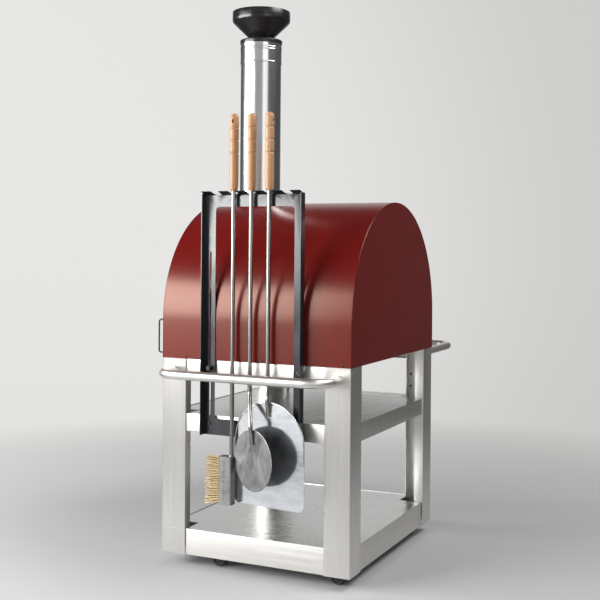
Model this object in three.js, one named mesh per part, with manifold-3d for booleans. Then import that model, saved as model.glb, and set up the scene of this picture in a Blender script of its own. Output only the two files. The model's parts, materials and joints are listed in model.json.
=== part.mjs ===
// A wood fired pizza oven on a wheeled stainless cart: a red steel vault over a refractory dome,
// a tall flue with a black cowl, two shelves, a front rail, a side shelf and a rack of hanging tools.
// Millimetres, +Z up. The oven mouth faces -Y, the tool rack hangs on the +X side.
// Inside the cart's group, z = 0 is the bottom of the legs and x = y = 0 is the middle of the cart.
import * as THREE from "three";
import { mergeVertices } from "three/addons/utils/BufferGeometryUtils.js";
import Module from "manifold-3d";

const wasm = await Module();
wasm.setup();

// ---------------------------------------------------------------- driving dimensions
const gap = 0.3; // clearance kept between pieces that touch
const sheet = 2.5; // folded steel of beams, shelves and rack

const cart = { halfX: 459.4, halfY: 392.5, height: 750, clearance: 45 };
const leg = { flangeY: 103, flangeX: 105, lip: 38, sheet: 3 };
const beam = { recess: 5.5, depth: 38, step: 2 };
const lowerBeam = { bottom: 0, height: 99, foot: 10 };
const midBeam = { bottom: 473, height: 68, foot: 38 };
const topBeam = { bottom: 700, height: 49.7 };

const caster = { x: 388, frontY: -194, rearY: 298, radius: 30, width: 26, trail: 22, bore: 4.2, axle: 4 };
const fork = { cheek: 3, crown: 20, back: -14, front: 20, hub: 9, swivelRadius: 21, swivelTop: 30 };
const casterRail = { bottom: 30.3, inner: 357, outer: 450, end: 376 };

const rail = { tube: 17, reach: 130, height: 704, halfY: 343, bend: 80 };
const sideShelf = { tube: 17, reach: 450, height: 724, halfY: 345, bend: 80, plateGap: 3 };

const vault = { half: 461, wall: 148, base: 750.3, halfY: 394.4, sheet: 2 };
const springline = vault.base + vault.wall;
const vaultTop = springline + vault.half;
const tray = { halfX: 458.2, halfY: 392, height: 40 };
const board = { thickness: 25, half: 455.5, halfY: 391 };
const slab = { thickness: 20 };
const hearthTop = vault.base + sheet + gap + board.thickness + gap + slab.thickness;
const dome = { inner: 345, outer: 385, front: -340, rear: 370, wall: 40 };
const blanket = { inner: 386, outer: 455.5 };
const mouth = { half: 280, wall: 100, rise: 130, frame: 20, sill: 31, depth: 60 };
const door = { half: 305, bottom: 740, wall: 162, rise: 150, thickness: 20, handleX: 270 };
const handle = { wire: 4, low: 748, high: 880, stand: 58, bend: 9 };

const flue = { y: -215, inner: 62, outer: 65, top: 1990 };
const chimney = { radius: 85, sheet: 1.5, top: 2020 };
const collar = { radius: 88.2, bottom: 1944, top: 2026 };
const collarGroove = { height: 2007, depth: 1.3, half: 2 };
const flashing = { inner: 85.4, outer: 112, bottom: 1320, shoulder: 1361, top: 1367 };
const cap = { top: 2044, bevel: 4 };
const cowl = { neck: 46, rim: 121, shoulder: 2120, top: 2163, sheet: 2 };

const rack = { back: 462, centre: 1, half: 207, bottom: 470, top: 1378, flange: 34 };
const rackWindow = { left: -161, right: 168, bottom: 531, top: 1330, corner: 16 };
const rackSlot = { left: -181, right: 195, width: 6.4, bottom: 493, top: 1161 };
const rackTab = { centre: -2, pitch: 74, width: 40, reach: 35, rise: 10, count: 6 };
const knob = { height: 721, radius: 10, length: 18 };

const tool = { x: 482, rod: 8, gripBottom: rack.top + 9.4, gripTop: 1675, gripRadius: 18 };
const toolY = [-1, 0, 1].map((i) => rackTab.centre + i * rackTab.pitch);
const brush = { x: 490, width: 36, depth: 54, shift: 14, bottom: 223, top: 403, bristle: 64 };
const disc = { radius: 112, x: 534, y: 40, z: 404, turn: THREE.MathUtils.degToRad(-25), sheet: 2 };
const discBracket = { width: 22, bottom: 67, top: 109, proud: 1.4 };
const discRod = { bendTop: 638, bendBottom: 532, tip: 464, offset: 11 };
const blade = { half: 155, bottom: 228, top: 614, x: 488, shift: 10, corner: 26, rim: 3, sheet: 2 };
const bladeTurn = THREE.MathUtils.degToRad(-8);
const bladeBracket = { width: 22, bottom: 560, top: 606 };
const bladeRod = { bendTop: 668, bendBottom: 628, tip: 560 };
const rodBend = 30; // radius of the bends low down on the two peels' rods

// ---------------------------------------------------------------- finishes
const finish = (color, roughness, metalness) => ({ color, roughness, metalness });
const brushedSteel = finish("#b9b8b4", 0.35, 1.0);
const polishedSteel = finish("#cfd0d1", 0.18, 1.0);
const redCoat = finish("#7a1a18", 0.38, 0.1);
const blackCoat = finish("#1c1e20", 0.45, 0.2);
const blackRubber = finish("#17181a", 0.75, 0.0);
const refractory = finish("#b7a58c", 0.95, 0.0);
const fibre = finish("#e3dfd5", 1.0, 0.0);
const beech = finish("#c99a5b", 0.55, 0.0);
const brass = finish("#c9a24a", 0.4, 0.6);

// ---------------------------------------------------------------- geometry helpers
const cartGroup = new THREE.Group();
cartGroup.position.z = cart.clearance;

// Signed volume of indexed triangles: positive when the faces point outwards.
function signedVolume(position, triangles) {
  const [a, b, c] = [new THREE.Vector3(), new THREE.Vector3(), new THREE.Vector3()];
  let total = 0;
  for (let i = 0; i < triangles.length; i += 3) {
    a.fromBufferAttribute(position, triangles[i]);
    b.fromBufferAttribute(position, triangles[i + 1]);
    c.fromBufferAttribute(position, triangles[i + 2]);
    total += a.dot(b.cross(c)) / 6;
  }
  return total;
}

// Merge shared vertices, drop empty triangles and make every face point out.
function closed(geometry) {
  const bare = geometry.clone();
  bare.deleteAttribute("normal");
  bare.deleteAttribute("uv");
  const merged = mergeVertices(bare, 1e-3);
  const index = merged.index.array;
  const kept = [];
  for (let i = 0; i < index.length; i += 3) {
    const [a, b, c] = [index[i], index[i + 1], index[i + 2]];
    if (a !== b && b !== c && c !== a) kept.push(a, b, c);
  }
  if (signedVolume(merged.attributes.position, kept) < 0) kept.reverse();
  merged.setIndex(kept);
  return merged;
}

function solid(geometry) {
  const body = closed(geometry);
  return new wasm.Manifold(
    new wasm.Mesh({
      numProp: 3,
      vertProperties: new Float32Array(body.attributes.position.array),
      triVerts: new Uint32Array(body.index.array),
    }),
  );
}

function geometryOf(body) {
  const mesh = body.getMesh();
  const geometry = new THREE.BufferGeometry();
  geometry.setAttribute("position", new THREE.BufferAttribute(new Float32Array(mesh.vertProperties), 3));
  geometry.setIndex(new THREE.BufferAttribute(new Uint32Array(mesh.triVerts), 1));
  return geometry;
}

function join(...parts) {
  const bodies = parts.map(solid);
  return geometryOf(bodies.reduce((all, part) => all.add(part)));
}

function cut(base, ...tools) {
  const bodies = tools.map(solid);
  return geometryOf(bodies.reduce((rest, tool) => rest.subtract(tool), solid(base)));
}

function add(name, geometry, look) {
  const body = closed(geometry);
  body.computeVertexNormals();
  const mesh = new THREE.Mesh(body, new THREE.MeshStandardMaterial(look));
  mesh.name = name;
  cartGroup.add(mesh);
}

// A box given by its lowest and highest corners.
function block([x0, y0, z0], [x1, y1, z1]) {
  const box = new THREE.BoxGeometry(x1 - x0, y1 - y0, z1 - z0);
  return box.translate((x0 + x1) / 2, (y0 + y1) / 2, (z0 + z1) / 2);
}

const outline = (points) => new THREE.Shape(points.map(([x, y]) => new THREE.Vector2(x, y)));

function slice(shape, depth, curveSegments = 12) {
  return new THREE.ExtrudeGeometry(shape, { depth, bevelEnabled: false, curveSegments });
}

// Extrude an outline drawn in plan (x, y) upwards from z0 to z1.
const upwards = (shape, z0, z1, detail) => slice(shape, z1 - z0, detail).translate(0, 0, z0);

// Extrude an outline drawn in (x, z) along Y, from y0 to y1.
function alongY(shape, y0, y1, detail) {
  return slice(shape, y1 - y0, detail).rotateX(Math.PI / 2).translate(0, y1, 0);
}

// Extrude an outline drawn in (y, z) along X, from x0 to x1.
function alongX(shape, x0, x1, detail) {
  const body = slice(shape, x1 - x0, detail).rotateX(Math.PI / 2).rotateZ(Math.PI / 2);
  return body.translate(x0, 0, 0);
}

// Turn a closed (radius, height) profile about the Z axis.
function turned(profile, segments = 24) {
  const points = profile.map(([r, h]) => new THREE.Vector2(r, h));
  return new THREE.LatheGeometry(points, segments).rotateX(Math.PI / 2);
}

const ring = (inner, outer, z0, z1, segments) =>
  turned([[inner, z0], [outer, z0], [outer, z1], [inner, z1], [inner, z0]], segments);

const rod = (radius, z0, z1, segments) => turned([[0, z0], [radius, z0], [radius, z1], [0, z1]], segments);

function roundedBox(left, right, bottom, top, radius) {
  const shape = new THREE.Shape();
  shape.absarc(right - radius, bottom + radius, radius, -Math.PI / 2, 0);
  shape.absarc(right - radius, top - radius, radius, 0, Math.PI / 2);
  shape.absarc(left + radius, top - radius, radius, Math.PI / 2, Math.PI);
  shape.absarc(left + radius, bottom + radius, radius, Math.PI, 1.5 * Math.PI);
  return shape;
}

// A flat-bottomed arch: straight sides of height wall, then half an ellipse of the given rise.
function arch(half, bottom, wall, rise = half) {
  const shape = new THREE.Shape();
  shape.moveTo(half, bottom);
  shape.lineTo(half, bottom + wall);
  shape.absellipse(0, bottom + wall, half, rise, 0, Math.PI);
  shape.lineTo(-half, bottom);
  return shape;
}

// A path of straight runs through the points, with a round bend at each inner one.
function bentPath(points, bend) {
  const path = new THREE.CurvePath();
  const corners = points.map((p) => new THREE.Vector3(...p));
  let from = corners[0];
  for (let i = 1; i < corners.length - 1; i += 1) {
    const before = corners[i - 1].clone().sub(corners[i]).normalize();
    const after = corners[i + 1].clone().sub(corners[i]).normalize();
    const turn = Math.PI - before.angleTo(after);
    const run = bend * Math.tan(turn / 2);
    const pull = run - bend * (4 / 3) * Math.tan(turn / 4);
    const [start, end] = [before, after].map((d) => corners[i].clone().addScaledVector(d, run));
    const [c1, c2] = [before, after].map((d) => corners[i].clone().addScaledVector(d, pull));
    path.add(new THREE.LineCurve3(from, start));
    path.add(new THREE.CubicBezierCurve3(start, c1, c2, end));
    from = end;
  }
  path.add(new THREE.LineCurve3(from, corners[corners.length - 1]));
  return path;
}

function tube(path, radius, sides, steps) {
  const section = new THREE.Shape();
  section.absarc(0, 0, radius, 0, 2 * Math.PI);
  const points = section.getSpacedPoints(sides).slice(0, sides);
  return new THREE.ExtrudeGeometry(new THREE.Shape(points), {
    extrudePath: path,
    steps,
    bevelEnabled: false,
  });
}

// ---------------------------------------------------------------- cart frame
function legAt(sideX, sideY) {
  const t = leg.sheet;
  const place = (profile) =>
    outline(profile.map(([a, b]) => [sideX * (cart.halfX - a), sideY * (cart.halfY - b)]));
  const angle = [[0, 0], [0, leg.flangeY], [t, leg.flangeY], [t, t], [leg.flangeX, t], [leg.flangeX, 0]];
  const lipped = [
    [0, 0],
    [0, leg.flangeY],
    [leg.lip, leg.flangeY],
    [leg.lip, leg.flangeY - t],
    [t, leg.flangeY - t],
    [t, t],
    [leg.flangeX - t, t],
    [leg.flangeX - t, leg.lip],
    [leg.flangeX, leg.lip],
    [leg.flangeX, 0],
  ];
  return join(upwards(place(angle), 0, cart.height), upwards(place(lipped), lowerBeam.height, cart.height));
}

// Channel section in (depth inwards, height): the top flange lies step below the web's top edge.
function beamSection(base, height, foot, step) {
  const seat = base + height - step;
  const lip = step > 0 ? [[sheet, base + height], [sheet, seat]] : [];
  return [
    [0, base],
    [0, base + height],
    ...lip,
    [beam.depth, seat],
    [beam.depth, seat - sheet],
    [sheet, seat - sheet],
    [sheet, base + sheet],
    [foot, base + sheet],
    [foot, base],
  ];
}

function sideBeam(side, section) {
  const face = cart.halfX - beam.recess;
  const reach = cart.halfY - leg.flangeY - gap;
  return alongY(outline(section.map(([d, z]) => [side * (face - d), z])), -reach, reach);
}

function endBeam(side, section) {
  const face = cart.halfY - beam.recess;
  const reach = cart.halfX - leg.flangeX - gap;
  return alongX(outline(section.map(([d, z]) => [side * (face - d), z])), -reach, reach);
}

function shelf(beamTop) {
  const top = beamTop - beam.step;
  const [x, y] = [cart.halfX, cart.halfY].map((half) => half - beam.recess - sheet - gap);
  const notchX = cart.halfX - leg.flangeX - gap;
  const notchY = cart.halfY - leg.flangeY - gap;
  const quarter = [[x, notchY], [notchX, notchY], [notchX, y]];
  const mirrored = (sx, sy) => quarter.map(([px, py]) => [sx * px, sy * py]);
  const around = [
    ...mirrored(1, 1),
    ...mirrored(-1, 1).reverse(),
    ...mirrored(-1, -1),
    ...mirrored(1, -1).reverse(),
  ];
  return upwards(outline(around), top - sheet, top);
}

function cartFrame() {
  const sides = [["right", 1], ["left", -1]];
  const ends = [["front", -1], ["rear", 1]];
  for (const [endName, sy] of ends) {
    for (const [sideName, sx] of sides) add(`leg_${endName}_${sideName}`, legAt(sx, sy), brushedSteel);
  }
  const shelfStep = beam.step + sheet + gap;
  const lower = beamSection(lowerBeam.bottom, lowerBeam.height, lowerBeam.foot, shelfStep);
  const middle = beamSection(midBeam.bottom, midBeam.height, midBeam.foot, shelfStep);
  const upper = beamSection(topBeam.bottom, topBeam.height, beam.depth, 0);
  for (const [name, sx] of sides) {
    add(`lower_beam_${name}`, sideBeam(sx, lower), brushedSteel);
    add(`mid_beam_${name}`, sideBeam(sx, middle), brushedSteel);
    add(`top_beam_${name}`, sideBeam(sx, upper), brushedSteel);
  }
  for (const [name, sy] of ends) {
    add(`lower_beam_${name}`, endBeam(sy, lower), brushedSteel);
    add(`mid_beam_${name}`, endBeam(sy, middle), brushedSteel);
  }
  add("lower_shelf", shelf(lowerBeam.bottom + lowerBeam.height), polishedSteel);
  add("mid_shelf", shelf(midBeam.bottom + midBeam.height), polishedSteel);
}

// ---------------------------------------------------------------- casters
function casterChannel(side) {
  const top = lowerBeam.height - beam.step - 2 * (sheet + gap);
  const { inner, outer, bottom, end } = casterRail;
  const channel = [
    [inner, bottom],
    [outer, bottom],
    [outer, top],
    [outer - sheet, top],
    [outer - sheet, bottom + sheet],
    [inner + sheet, bottom + sheet],
    [inner + sheet, top],
    [inner, top],
  ];
  return alongY(outline(channel.map(([x, z]) => [side * x, z])), -end, end);
}

function casterFork(x, y) {
  const { cheek, crown, back, front, hub, swivelRadius, swivelTop } = fork;
  const axleZ = caster.radius - cart.clearance;
  const inside = caster.width / 2 + 1;
  const side = new THREE.Shape();
  side.moveTo(back, crown);
  side.lineTo(caster.trail - hub, axleZ);
  side.absarc(caster.trail, axleZ, hub, Math.PI, 2 * Math.PI);
  side.lineTo(front, crown);
  const cheeks = [-inside - cheek, inside].map((start) => alongX(side, start, start + cheek, 8));
  const axle = rod(caster.axle, -inside - 1, inside + 1, 12)
    .rotateY(Math.PI / 2)
    .translate(0, caster.trail, axleZ);
  const bridge = block([-inside - cheek, back, crown - cheek], [inside + cheek, front, crown]);
  const swivel = turned(
    [
      [0, crown - 1],
      [swivelRadius, crown - 1],
      [swivelRadius, swivelTop - 4],
      [swivelRadius - 9, swivelTop],
      [0, swivelTop],
    ],
    12,
  );
  return join(...cheeks, axle, bridge, swivel).translate(x, y, 0);
}

function casterWheel(x, y) {
  const half = caster.width / 2;
  const r = caster.radius;
  const tread = half - 5;
  const profile = [
    [caster.bore, -half],
    [r - 4, -half],
    [r, -tread],
    [r, tread],
    [r - 4, half],
    [caster.bore, half],
    [caster.bore, -half],
  ];
  return turned(profile, 24).rotateY(Math.PI / 2).translate(x, y + caster.trail, r - cart.clearance);
}

function casters() {
  for (const [sideName, sx] of [["right", 1], ["left", -1]]) {
    add(`caster_channel_${sideName}`, casterChannel(sx), brushedSteel);
    for (const [endName, y] of [["front", caster.frontY], ["rear", caster.rearY]]) {
      add(`caster_fork_${endName}_${sideName}`, casterFork(sx * caster.x, y), blackCoat);
      add(`caster_wheel_${endName}_${sideName}`, casterWheel(sx * caster.x, y), blackRubber);
    }
  }
}

// ---------------------------------------------------------------- rail and side shelf
// A tube bent into a U that stands off the cart's side, with a weld collar at each end.
function hoop(side, { tube: radius, reach, height, halfY, bend }) {
  const root = cart.halfX + gap;
  const far = cart.halfX + reach;
  const corners = [[root, -halfY], [far, -halfY], [far, halfY], [root, halfY]];
  const path = bentPath(corners.map(([x, y]) => [side * x, y, height]), bend);
  const collars = [-halfY, halfY].map((y) =>
    rod(radius + 3, 0, 5, 12).rotateY(side * Math.PI / 2).translate(side * root, y, height),
  );
  return join(tube(path, radius, 8, 44), ...collars);
}

function sideShelfPlate() {
  const { tube: radius, reach, height, halfY, bend, plateGap } = sideShelf;
  const inset = radius + plateGap;
  const outer = -cart.halfX - reach + inset;
  const shape = roundedBox(outer, -cart.halfX, inset - halfY, halfY - inset, bend - inset);
  const plate = upwards(shape, height - sheet, height, 6);
  const collarRoom = 6;
  const keepClear = block([-cart.halfX - collarRoom, -halfY, height - 20], [0, halfY, height + 20]);
  return cut(plate, keepClear);
}

// ---------------------------------------------------------------- oven
const mouthOutline = (grow, drop) =>
  arch(mouth.half + grow, hearthTop + gap - drop, mouth.wall + drop, mouth.rise + grow);

function ovenTray() {
  const { halfX, halfY, height } = tray;
  const outer = block([-halfX, -halfY, vault.base], [halfX, halfY, vault.base + height]);
  const wall = 2;
  const hollow = block(
    [-halfX + wall, -halfY + wall, vault.base + sheet],
    [halfX - wall, halfY - wall, vault.base + height + 5],
  );
  const doorway = block([-mouth.half, -halfY - 5, hearthTop], [mouth.half, 0, hearthTop + 50]);
  return cut(outer, hollow, doorway);
}

const flueHole = (radius) => rod(radius, springline, vaultTop + 20, 32).translate(0, flue.y, 0);

function vaultShell() {
  const end = vault.halfY - vault.sheet - gap;
  const outer = alongY(arch(vault.half, vault.base, vault.wall), -end, end, 32);
  const inner = alongY(arch(vault.half - vault.sheet, vault.base - 5, vault.wall + 5), -end - 5, end + 5, 32);
  return cut(outer, inner, flueHole(flue.outer + 1));
}

function endPanel(y0, y1) {
  return alongY(arch(vault.half, vault.base, vault.wall), y0, y1, 32);
}

function refractoryDome() {
  const base = hearthTop + gap;
  const full = (half, y0, y1) => alongY(arch(half, base, springline - base), y0, y1, 20);
  const chamber = alongY(
    arch(dome.inner, base - 5, springline - base + 5),
    dome.front + dome.wall,
    dome.rear - dome.wall,
    20,
  );
  const throat = alongY(mouthOutline(mouth.frame, 0), -board.halfY, dome.front + 1, 12);
  const doorway = alongY(mouthOutline(0, 5), -board.halfY - 5, dome.front + dome.wall + 5, 12);
  const body = join(full(dome.outer, dome.front, dome.rear), throat);
  return cut(body, chamber, doorway, flueHole(flue.inner - 2));
}

function insulationBlanket() {
  const base = hearthTop + gap;
  const full = (half, drop, y0, y1) =>
    alongY(arch(half, base - drop, springline - base + drop), y0, y1, 20);
  const body = full(blanket.outer, 0, -board.halfY, board.halfY);
  const domeSpace = full(blanket.inner, 5, dome.front - 1, dome.rear + 1);
  const throatSpace = alongY(mouthOutline(mouth.frame + 1, 5), -board.halfY - 5, dome.front, 12);
  return cut(body, domeSpace, throatSpace, flueHole(flue.outer + 1));
}

function mouthFrame() {
  const front = -vault.halfY - mouth.depth;
  const back = -vault.halfY - gap;
  const outer = alongY(mouthOutline(mouth.frame, mouth.sill), front, back, 12);
  return cut(outer, alongY(mouthOutline(0, 0), front - 5, back + 5, 12));
}

function frontPanel() {
  const y0 = -vault.halfY;
  const y1 = -vault.halfY + vault.sheet;
  return cut(endPanel(y0, y1), alongY(mouthOutline(0, 0), y0 - 5, y1 + 5, 12));
}

function ovenBody() {
  const boardBottom = vault.base + sheet + gap;
  const boardTop = boardBottom + board.thickness;
  add("oven_tray", ovenTray(), brushedSteel);
  add(
    "hearth_board",
    block([-board.half, -board.halfY + 2, boardBottom], [board.half, board.halfY - 2, boardTop]),
    fibre,
  );
  add(
    "hearth_slab",
    block([-board.half, -board.halfY + 2, boardTop + gap], [board.half, board.halfY - 2, hearthTop]),
    refractory,
  );
  add("refractory_dome", refractoryDome(), refractory);
  add("insulation_blanket", insulationBlanket(), fibre);
  add("vault_shell", vaultShell(), redCoat);
  add("rear_panel", endPanel(vault.halfY - vault.sheet, vault.halfY), redCoat);
  add("front_panel", frontPanel(), redCoat);
  add("mouth_frame", mouthFrame(), brushedSteel);
}

function ovenDoor() {
  const back = -vault.halfY - mouth.depth - 2 * gap;
  const front = back - door.thickness;
  const panel = arch(door.half, door.bottom, door.wall, door.rise);
  add("door_panel", alongY(panel, front, back, 20), brushedSteel);
  for (const [name, side] of [["right", 1], ["left", -1]]) {
    const x = side * door.handleX;
    const out = front - handle.stand;
    const loop = [[x, front - gap, handle.high], [x, out, handle.high], [x, out, handle.low]];
    const path = bentPath([...loop, [x, front - gap, handle.low]], handle.bend);
    add(`door_handle_${name}`, tube(path, handle.wire, 6, 18), blackCoat);
  }
}

// ---------------------------------------------------------------- flue and chimney
// The solid arch under a surface of the given radius, for seating a pipe on it.
function underArch(radius) {
  return alongY(arch(radius, springline - 10, 10), flue.y - 150, flue.y + 150, 32);
}

function collarProfile() {
  const { radius, bottom, top } = collar;
  const { height, depth, half } = collarGroove;
  const inner = chimney.radius + gap;
  return [
    [inner, bottom],
    [radius, bottom],
    [radius, height - half],
    [radius - depth, height],
    [radius, height + half],
    [radius, top],
    [inner, top],
    [inner, bottom],
  ];
}

function capProfile() {
  const bottom = collar.top + gap;
  return [
    [cowl.neck, bottom],
    [collar.radius, bottom],
    [collar.radius, cap.top - cap.bevel],
    [collar.radius - cap.bevel, cap.top],
    [cowl.neck, cap.top],
    [cowl.neck, bottom],
  ];
}

// An open funnel of thin sheet that widens upwards and ends in a straight band.
function cowlProfile() {
  const t = cowl.sheet;
  return [
    [cowl.neck, cap.top + gap],
    [cowl.neck + t, cap.top + gap],
    [cowl.neck + t, cap.top + 5],
    [cowl.rim, cowl.shoulder],
    [cowl.rim, cowl.top - 3],
    [cowl.rim - t, cowl.top],
    [cowl.rim - t, cowl.shoulder + 1],
    [cowl.neck, cap.top + 6],
    [cowl.neck, cap.top + gap],
  ];
}

function chimneyStack() {
  const { inner, outer, bottom, shoulder, top } = flashing;
  const at = (geometry) => geometry.translate(0, flue.y, 0);
  const skirt = [
    [inner, bottom],
    [outer, bottom],
    [outer, shoulder],
    [outer - 4, top - 2],
    [inner, top],
    [inner, bottom],
  ];
  const pipe = ring(chimney.radius - chimney.sheet, chimney.radius, vaultTop - 60, chimney.top, 32);
  const liner = ring(flue.inner, flue.outer, springline + dome.outer - 45, flue.top, 24);
  add("chimney_pipe", cut(at(pipe), underArch(vault.half + gap)), brushedSteel);
  add("flue_liner", cut(at(liner), underArch(dome.outer + gap)), brushedSteel);
  add("flue_flashing", cut(at(turned(skirt, 32)), underArch(vault.half + gap)), blackCoat);
  add("chimney_collar", at(turned(collarProfile(), 32)), polishedSteel);
  add("chimney_cap", at(turned(capProfile(), 32)), blackCoat);
  add("chimney_cowl", at(turned(cowlProfile(), 32)), blackCoat);
}

// ---------------------------------------------------------------- tool rack
function toolRack() {
  const { back, centre, half, bottom, top, flange } = rack;
  const front = back + sheet;
  const plateShape = roundedBox(centre - half, centre + half, bottom, top, 2);
  const { left, right, bottom: sill, top: head, corner } = rackWindow;
  plateShape.holes.push(roundedBox(left, right, sill, head, corner));
  const r = rackSlot.width / 2;
  for (const y of [rackSlot.left, rackSlot.right]) {
    plateShape.holes.push(roundedBox(y - r, y + r, rackSlot.bottom, rackSlot.top, r - 0.01));
  }
  const plate = alongX(plateShape, back, front, 6);
  const flanges = [centre - half, centre + half - sheet].map((y) =>
    block([back, y, bottom], [back + flange, y + sheet, top]),
  );
  const tip = back + rackTab.reach;
  const profile = outline([
    [back, top - 5],
    [back, top - 1],
    [tip, top - 1 + rackTab.rise],
    [tip + 0.8, top - 3.4 + rackTab.rise],
    [front, top - 5],
  ]);
  const tabs = [];
  for (let i = 0; i < rackTab.count; i += 1) {
    const y = rackTab.centre + (i - (rackTab.count - 1) / 2) * rackTab.pitch;
    tabs.push(alongY(profile, y - rackTab.width / 2, y + rackTab.width / 2));
  }
  return join(plate, ...flanges, ...tabs);
}

// A clamp knob: spacer behind the plate, stud through the slot, knob in front.
function rackKnob(y) {
  const face = cart.halfX - beam.recess + gap;
  const front = rack.back + sheet + gap;
  const tip = front + knob.length;
  const profile = [
    [0, face],
    [7, face],
    [7, rack.back - gap],
    [2.8, rack.back - gap],
    [2.8, front],
    [knob.radius - 2, front],
    [knob.radius, front + 3],
    [knob.radius, tip - 3],
    [knob.radius - 3, tip],
    [0, tip],
  ];
  return turned(profile, 16).rotateY(Math.PI / 2).translate(0, y, knob.height);
}

// ---------------------------------------------------------------- hanging tools
// Turned wooden grip: tapered foot, plain barrel, three grooves and a rounded top.
function grip(y) {
  const { gripBottom: z0, gripTop: z1, gripRadius: r, rod: radius } = tool;
  const bore = radius + gap;
  const profile = [[0, z0 + 30], [bore, z0 + 30], [bore, z0], [r - 4, z0], [r - 1, z0 + 14]];
  profile.push([r, z0 + 40], [r, z0 + 110]);
  for (const grooveZ of [z1 - 148, z1 - 101, z1 - 54]) {
    profile.push([r, grooveZ - 5], [r - 2, grooveZ], [r, grooveZ + 5]);
  }
  profile.push([r, z1 - 22], [r - 3, z1 - 9], [r - 9, z1 - 2], [0, z1]);
  return turned(profile, 14).translate(tool.x, y, 0);
}

// Turn a shape drawn about the Z axis and set it at (x, y).
const stand = (geometry, turn, x, y) => geometry.rotateZ(turn).translate(x, y, 0);

const facing = (turn) => new THREE.Vector3(Math.cos(turn), Math.sin(turn), 0);

// Each rod ends this far inside its grip.
const rodHead = tool.gripBottom + 29;

// A peel's rod: straight down from the grip, two bends, then flat against the bracket at the seat.
function peelRod(y, seat, { bendTop, bendBottom, tip }) {
  const points = [
    [tool.x, y, rodHead],
    [tool.x, y, bendTop],
    [seat.x, seat.y, bendBottom],
    [seat.x, seat.y, tip],
  ];
  return tube(bentPath(points, rodBend), tool.rod, 8, 36);
}

function brushTool(y) {
  const { x, width, depth, shift, bottom, top, bristle } = brush;
  const steel = roundedBox(-width / 2, width / 2, -depth / 2, depth / 2, 8);
  add("brush_grip", grip(y), beech);
  add("brush_rod", rod(tool.rod, top + gap, rodHead, 12).translate(tool.x, y, 0), brushedSteel);
  add("brush_block", upwards(steel, bottom, top, 4).translate(x, y - shift, 0), polishedSteel);
  const root = y - shift - depth / 2 - gap;
  const tuft = outline([
    [root, bottom + 4],
    [root, top - 4],
    [root - bristle, top + 2],
    [root - bristle, bottom - 16],
  ]);
  add("brush_bristles", alongX(tuft, x - width / 2 + 3, x + width / 2 - 3), brass);
}

function turningPeelTool(y) {
  const half = disc.sheet / 2;
  const seat = new THREE.Vector3(disc.x, disc.y, 0).addScaledVector(facing(disc.turn), discRod.offset);
  const plate = rod(disc.radius, -half, half, 48).rotateY(Math.PI / 2);
  const { width, bottom, top, proud } = discBracket;
  const bracket = block([half - 0.5, -width / 2, bottom], [half + proud, width / 2, top]);
  const head = join(plate, bracket).translate(0, 0, disc.z);
  add("turning_peel_grip", grip(y), beech);
  add("turning_peel_rod", peelRod(y, seat, discRod), brushedSteel);
  add("turning_peel_disc", stand(head, disc.turn, disc.x, disc.y), polishedSteel);
}

function bladeOutline(spring) {
  const { half, bottom, corner } = blade;
  const blank = new THREE.Shape();
  blank.moveTo(half, spring);
  blank.absarc(0, spring, half, 0, Math.PI);
  blank.absarc(-half + corner, bottom + corner, corner, Math.PI, 1.5 * Math.PI);
  blank.absarc(half - corner, bottom + corner, corner, 1.5 * Math.PI, 2 * Math.PI);
  return blank;
}

function pizzaPeelTool(y) {
  const t = blade.sheet / 2;
  const { half, top, rim } = blade;
  const stickOut = tool.rod + t + rim + 2 * gap;
  const centre = y + blade.shift;
  const seat = new THREE.Vector3(blade.x, centre, 0).addScaledVector(facing(bladeTurn), stickOut);
  const spring = top - half;
  const plate = alongX(bladeOutline(spring), -t, t, 16);
  const rimOuter = alongX(arch(half, spring - 60, 60), -t, t + rim, 16);
  const rimInner = alongX(arch(half - 3, spring - 70, 70), -t - 1, t + rim + 1, 16);
  const { width, bottom: low, top: high } = bladeBracket;
  const bracket = block([t - 0.5, -width / 2, low], [t + rim, width / 2, high]);
  const head = join(plate, cut(rimOuter, rimInner), bracket);
  add("pizza_peel_grip", grip(y), beech);
  add("pizza_peel_rod", peelRod(y, seat, bladeRod), brushedSteel);
  add("pizza_peel_blade", stand(head, bladeTurn, blade.x, centre), polishedSteel);
}

// ---------------------------------------------------------------- assembly
cartFrame();
casters();
add("side_rail", hoop(1, rail), brushedSteel);
add("side_shelf_hoop", hoop(-1, sideShelf), brushedSteel);
add("side_shelf_plate", sideShelfPlate(), polishedSteel);
ovenBody();
ovenDoor();
chimneyStack();
add("tool_rack", toolRack(), blackCoat);
add("rack_knob_front", rackKnob(rackSlot.left), blackCoat);
add("rack_knob_rear", rackKnob(rackSlot.right), blackCoat);
brushTool(toolY[0]);
turningPeelTool(toolY[1]);
pizzaPeelTool(toolY[2]);

// The origin stands on the floor, in the middle of the whole object's plan.
cartGroup.position.x = (sideShelf.reach + sideShelf.tube - rail.reach - rail.tube) / 2;
cartGroup.position.y = (mouth.depth + 2 * gap + door.thickness + handle.stand + handle.wire) / 2;

const oven = new THREE.Group();
oven.add(cartGroup);
export default oven;
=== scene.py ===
# %% [markdown]
# # A wood fired pizza oven on its cart
# This lesson dresses a measured model of an outdoor pizza oven: a red steel vault on a brushed steel
# cart, with a tall chimney, a rail, a side shelf and a rack of hanging tools.
# The frame below brings in the measured model, one object for each part of the oven. Its sizes are
# fixed. Every new piece is made to fit it, and rides on one of its bodies, so that the door, the
# rack, the tools and the casters still move as they should.

import json

import bmesh
import bpy
import numpy as np
from mathutils import Matrix, Vector

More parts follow.
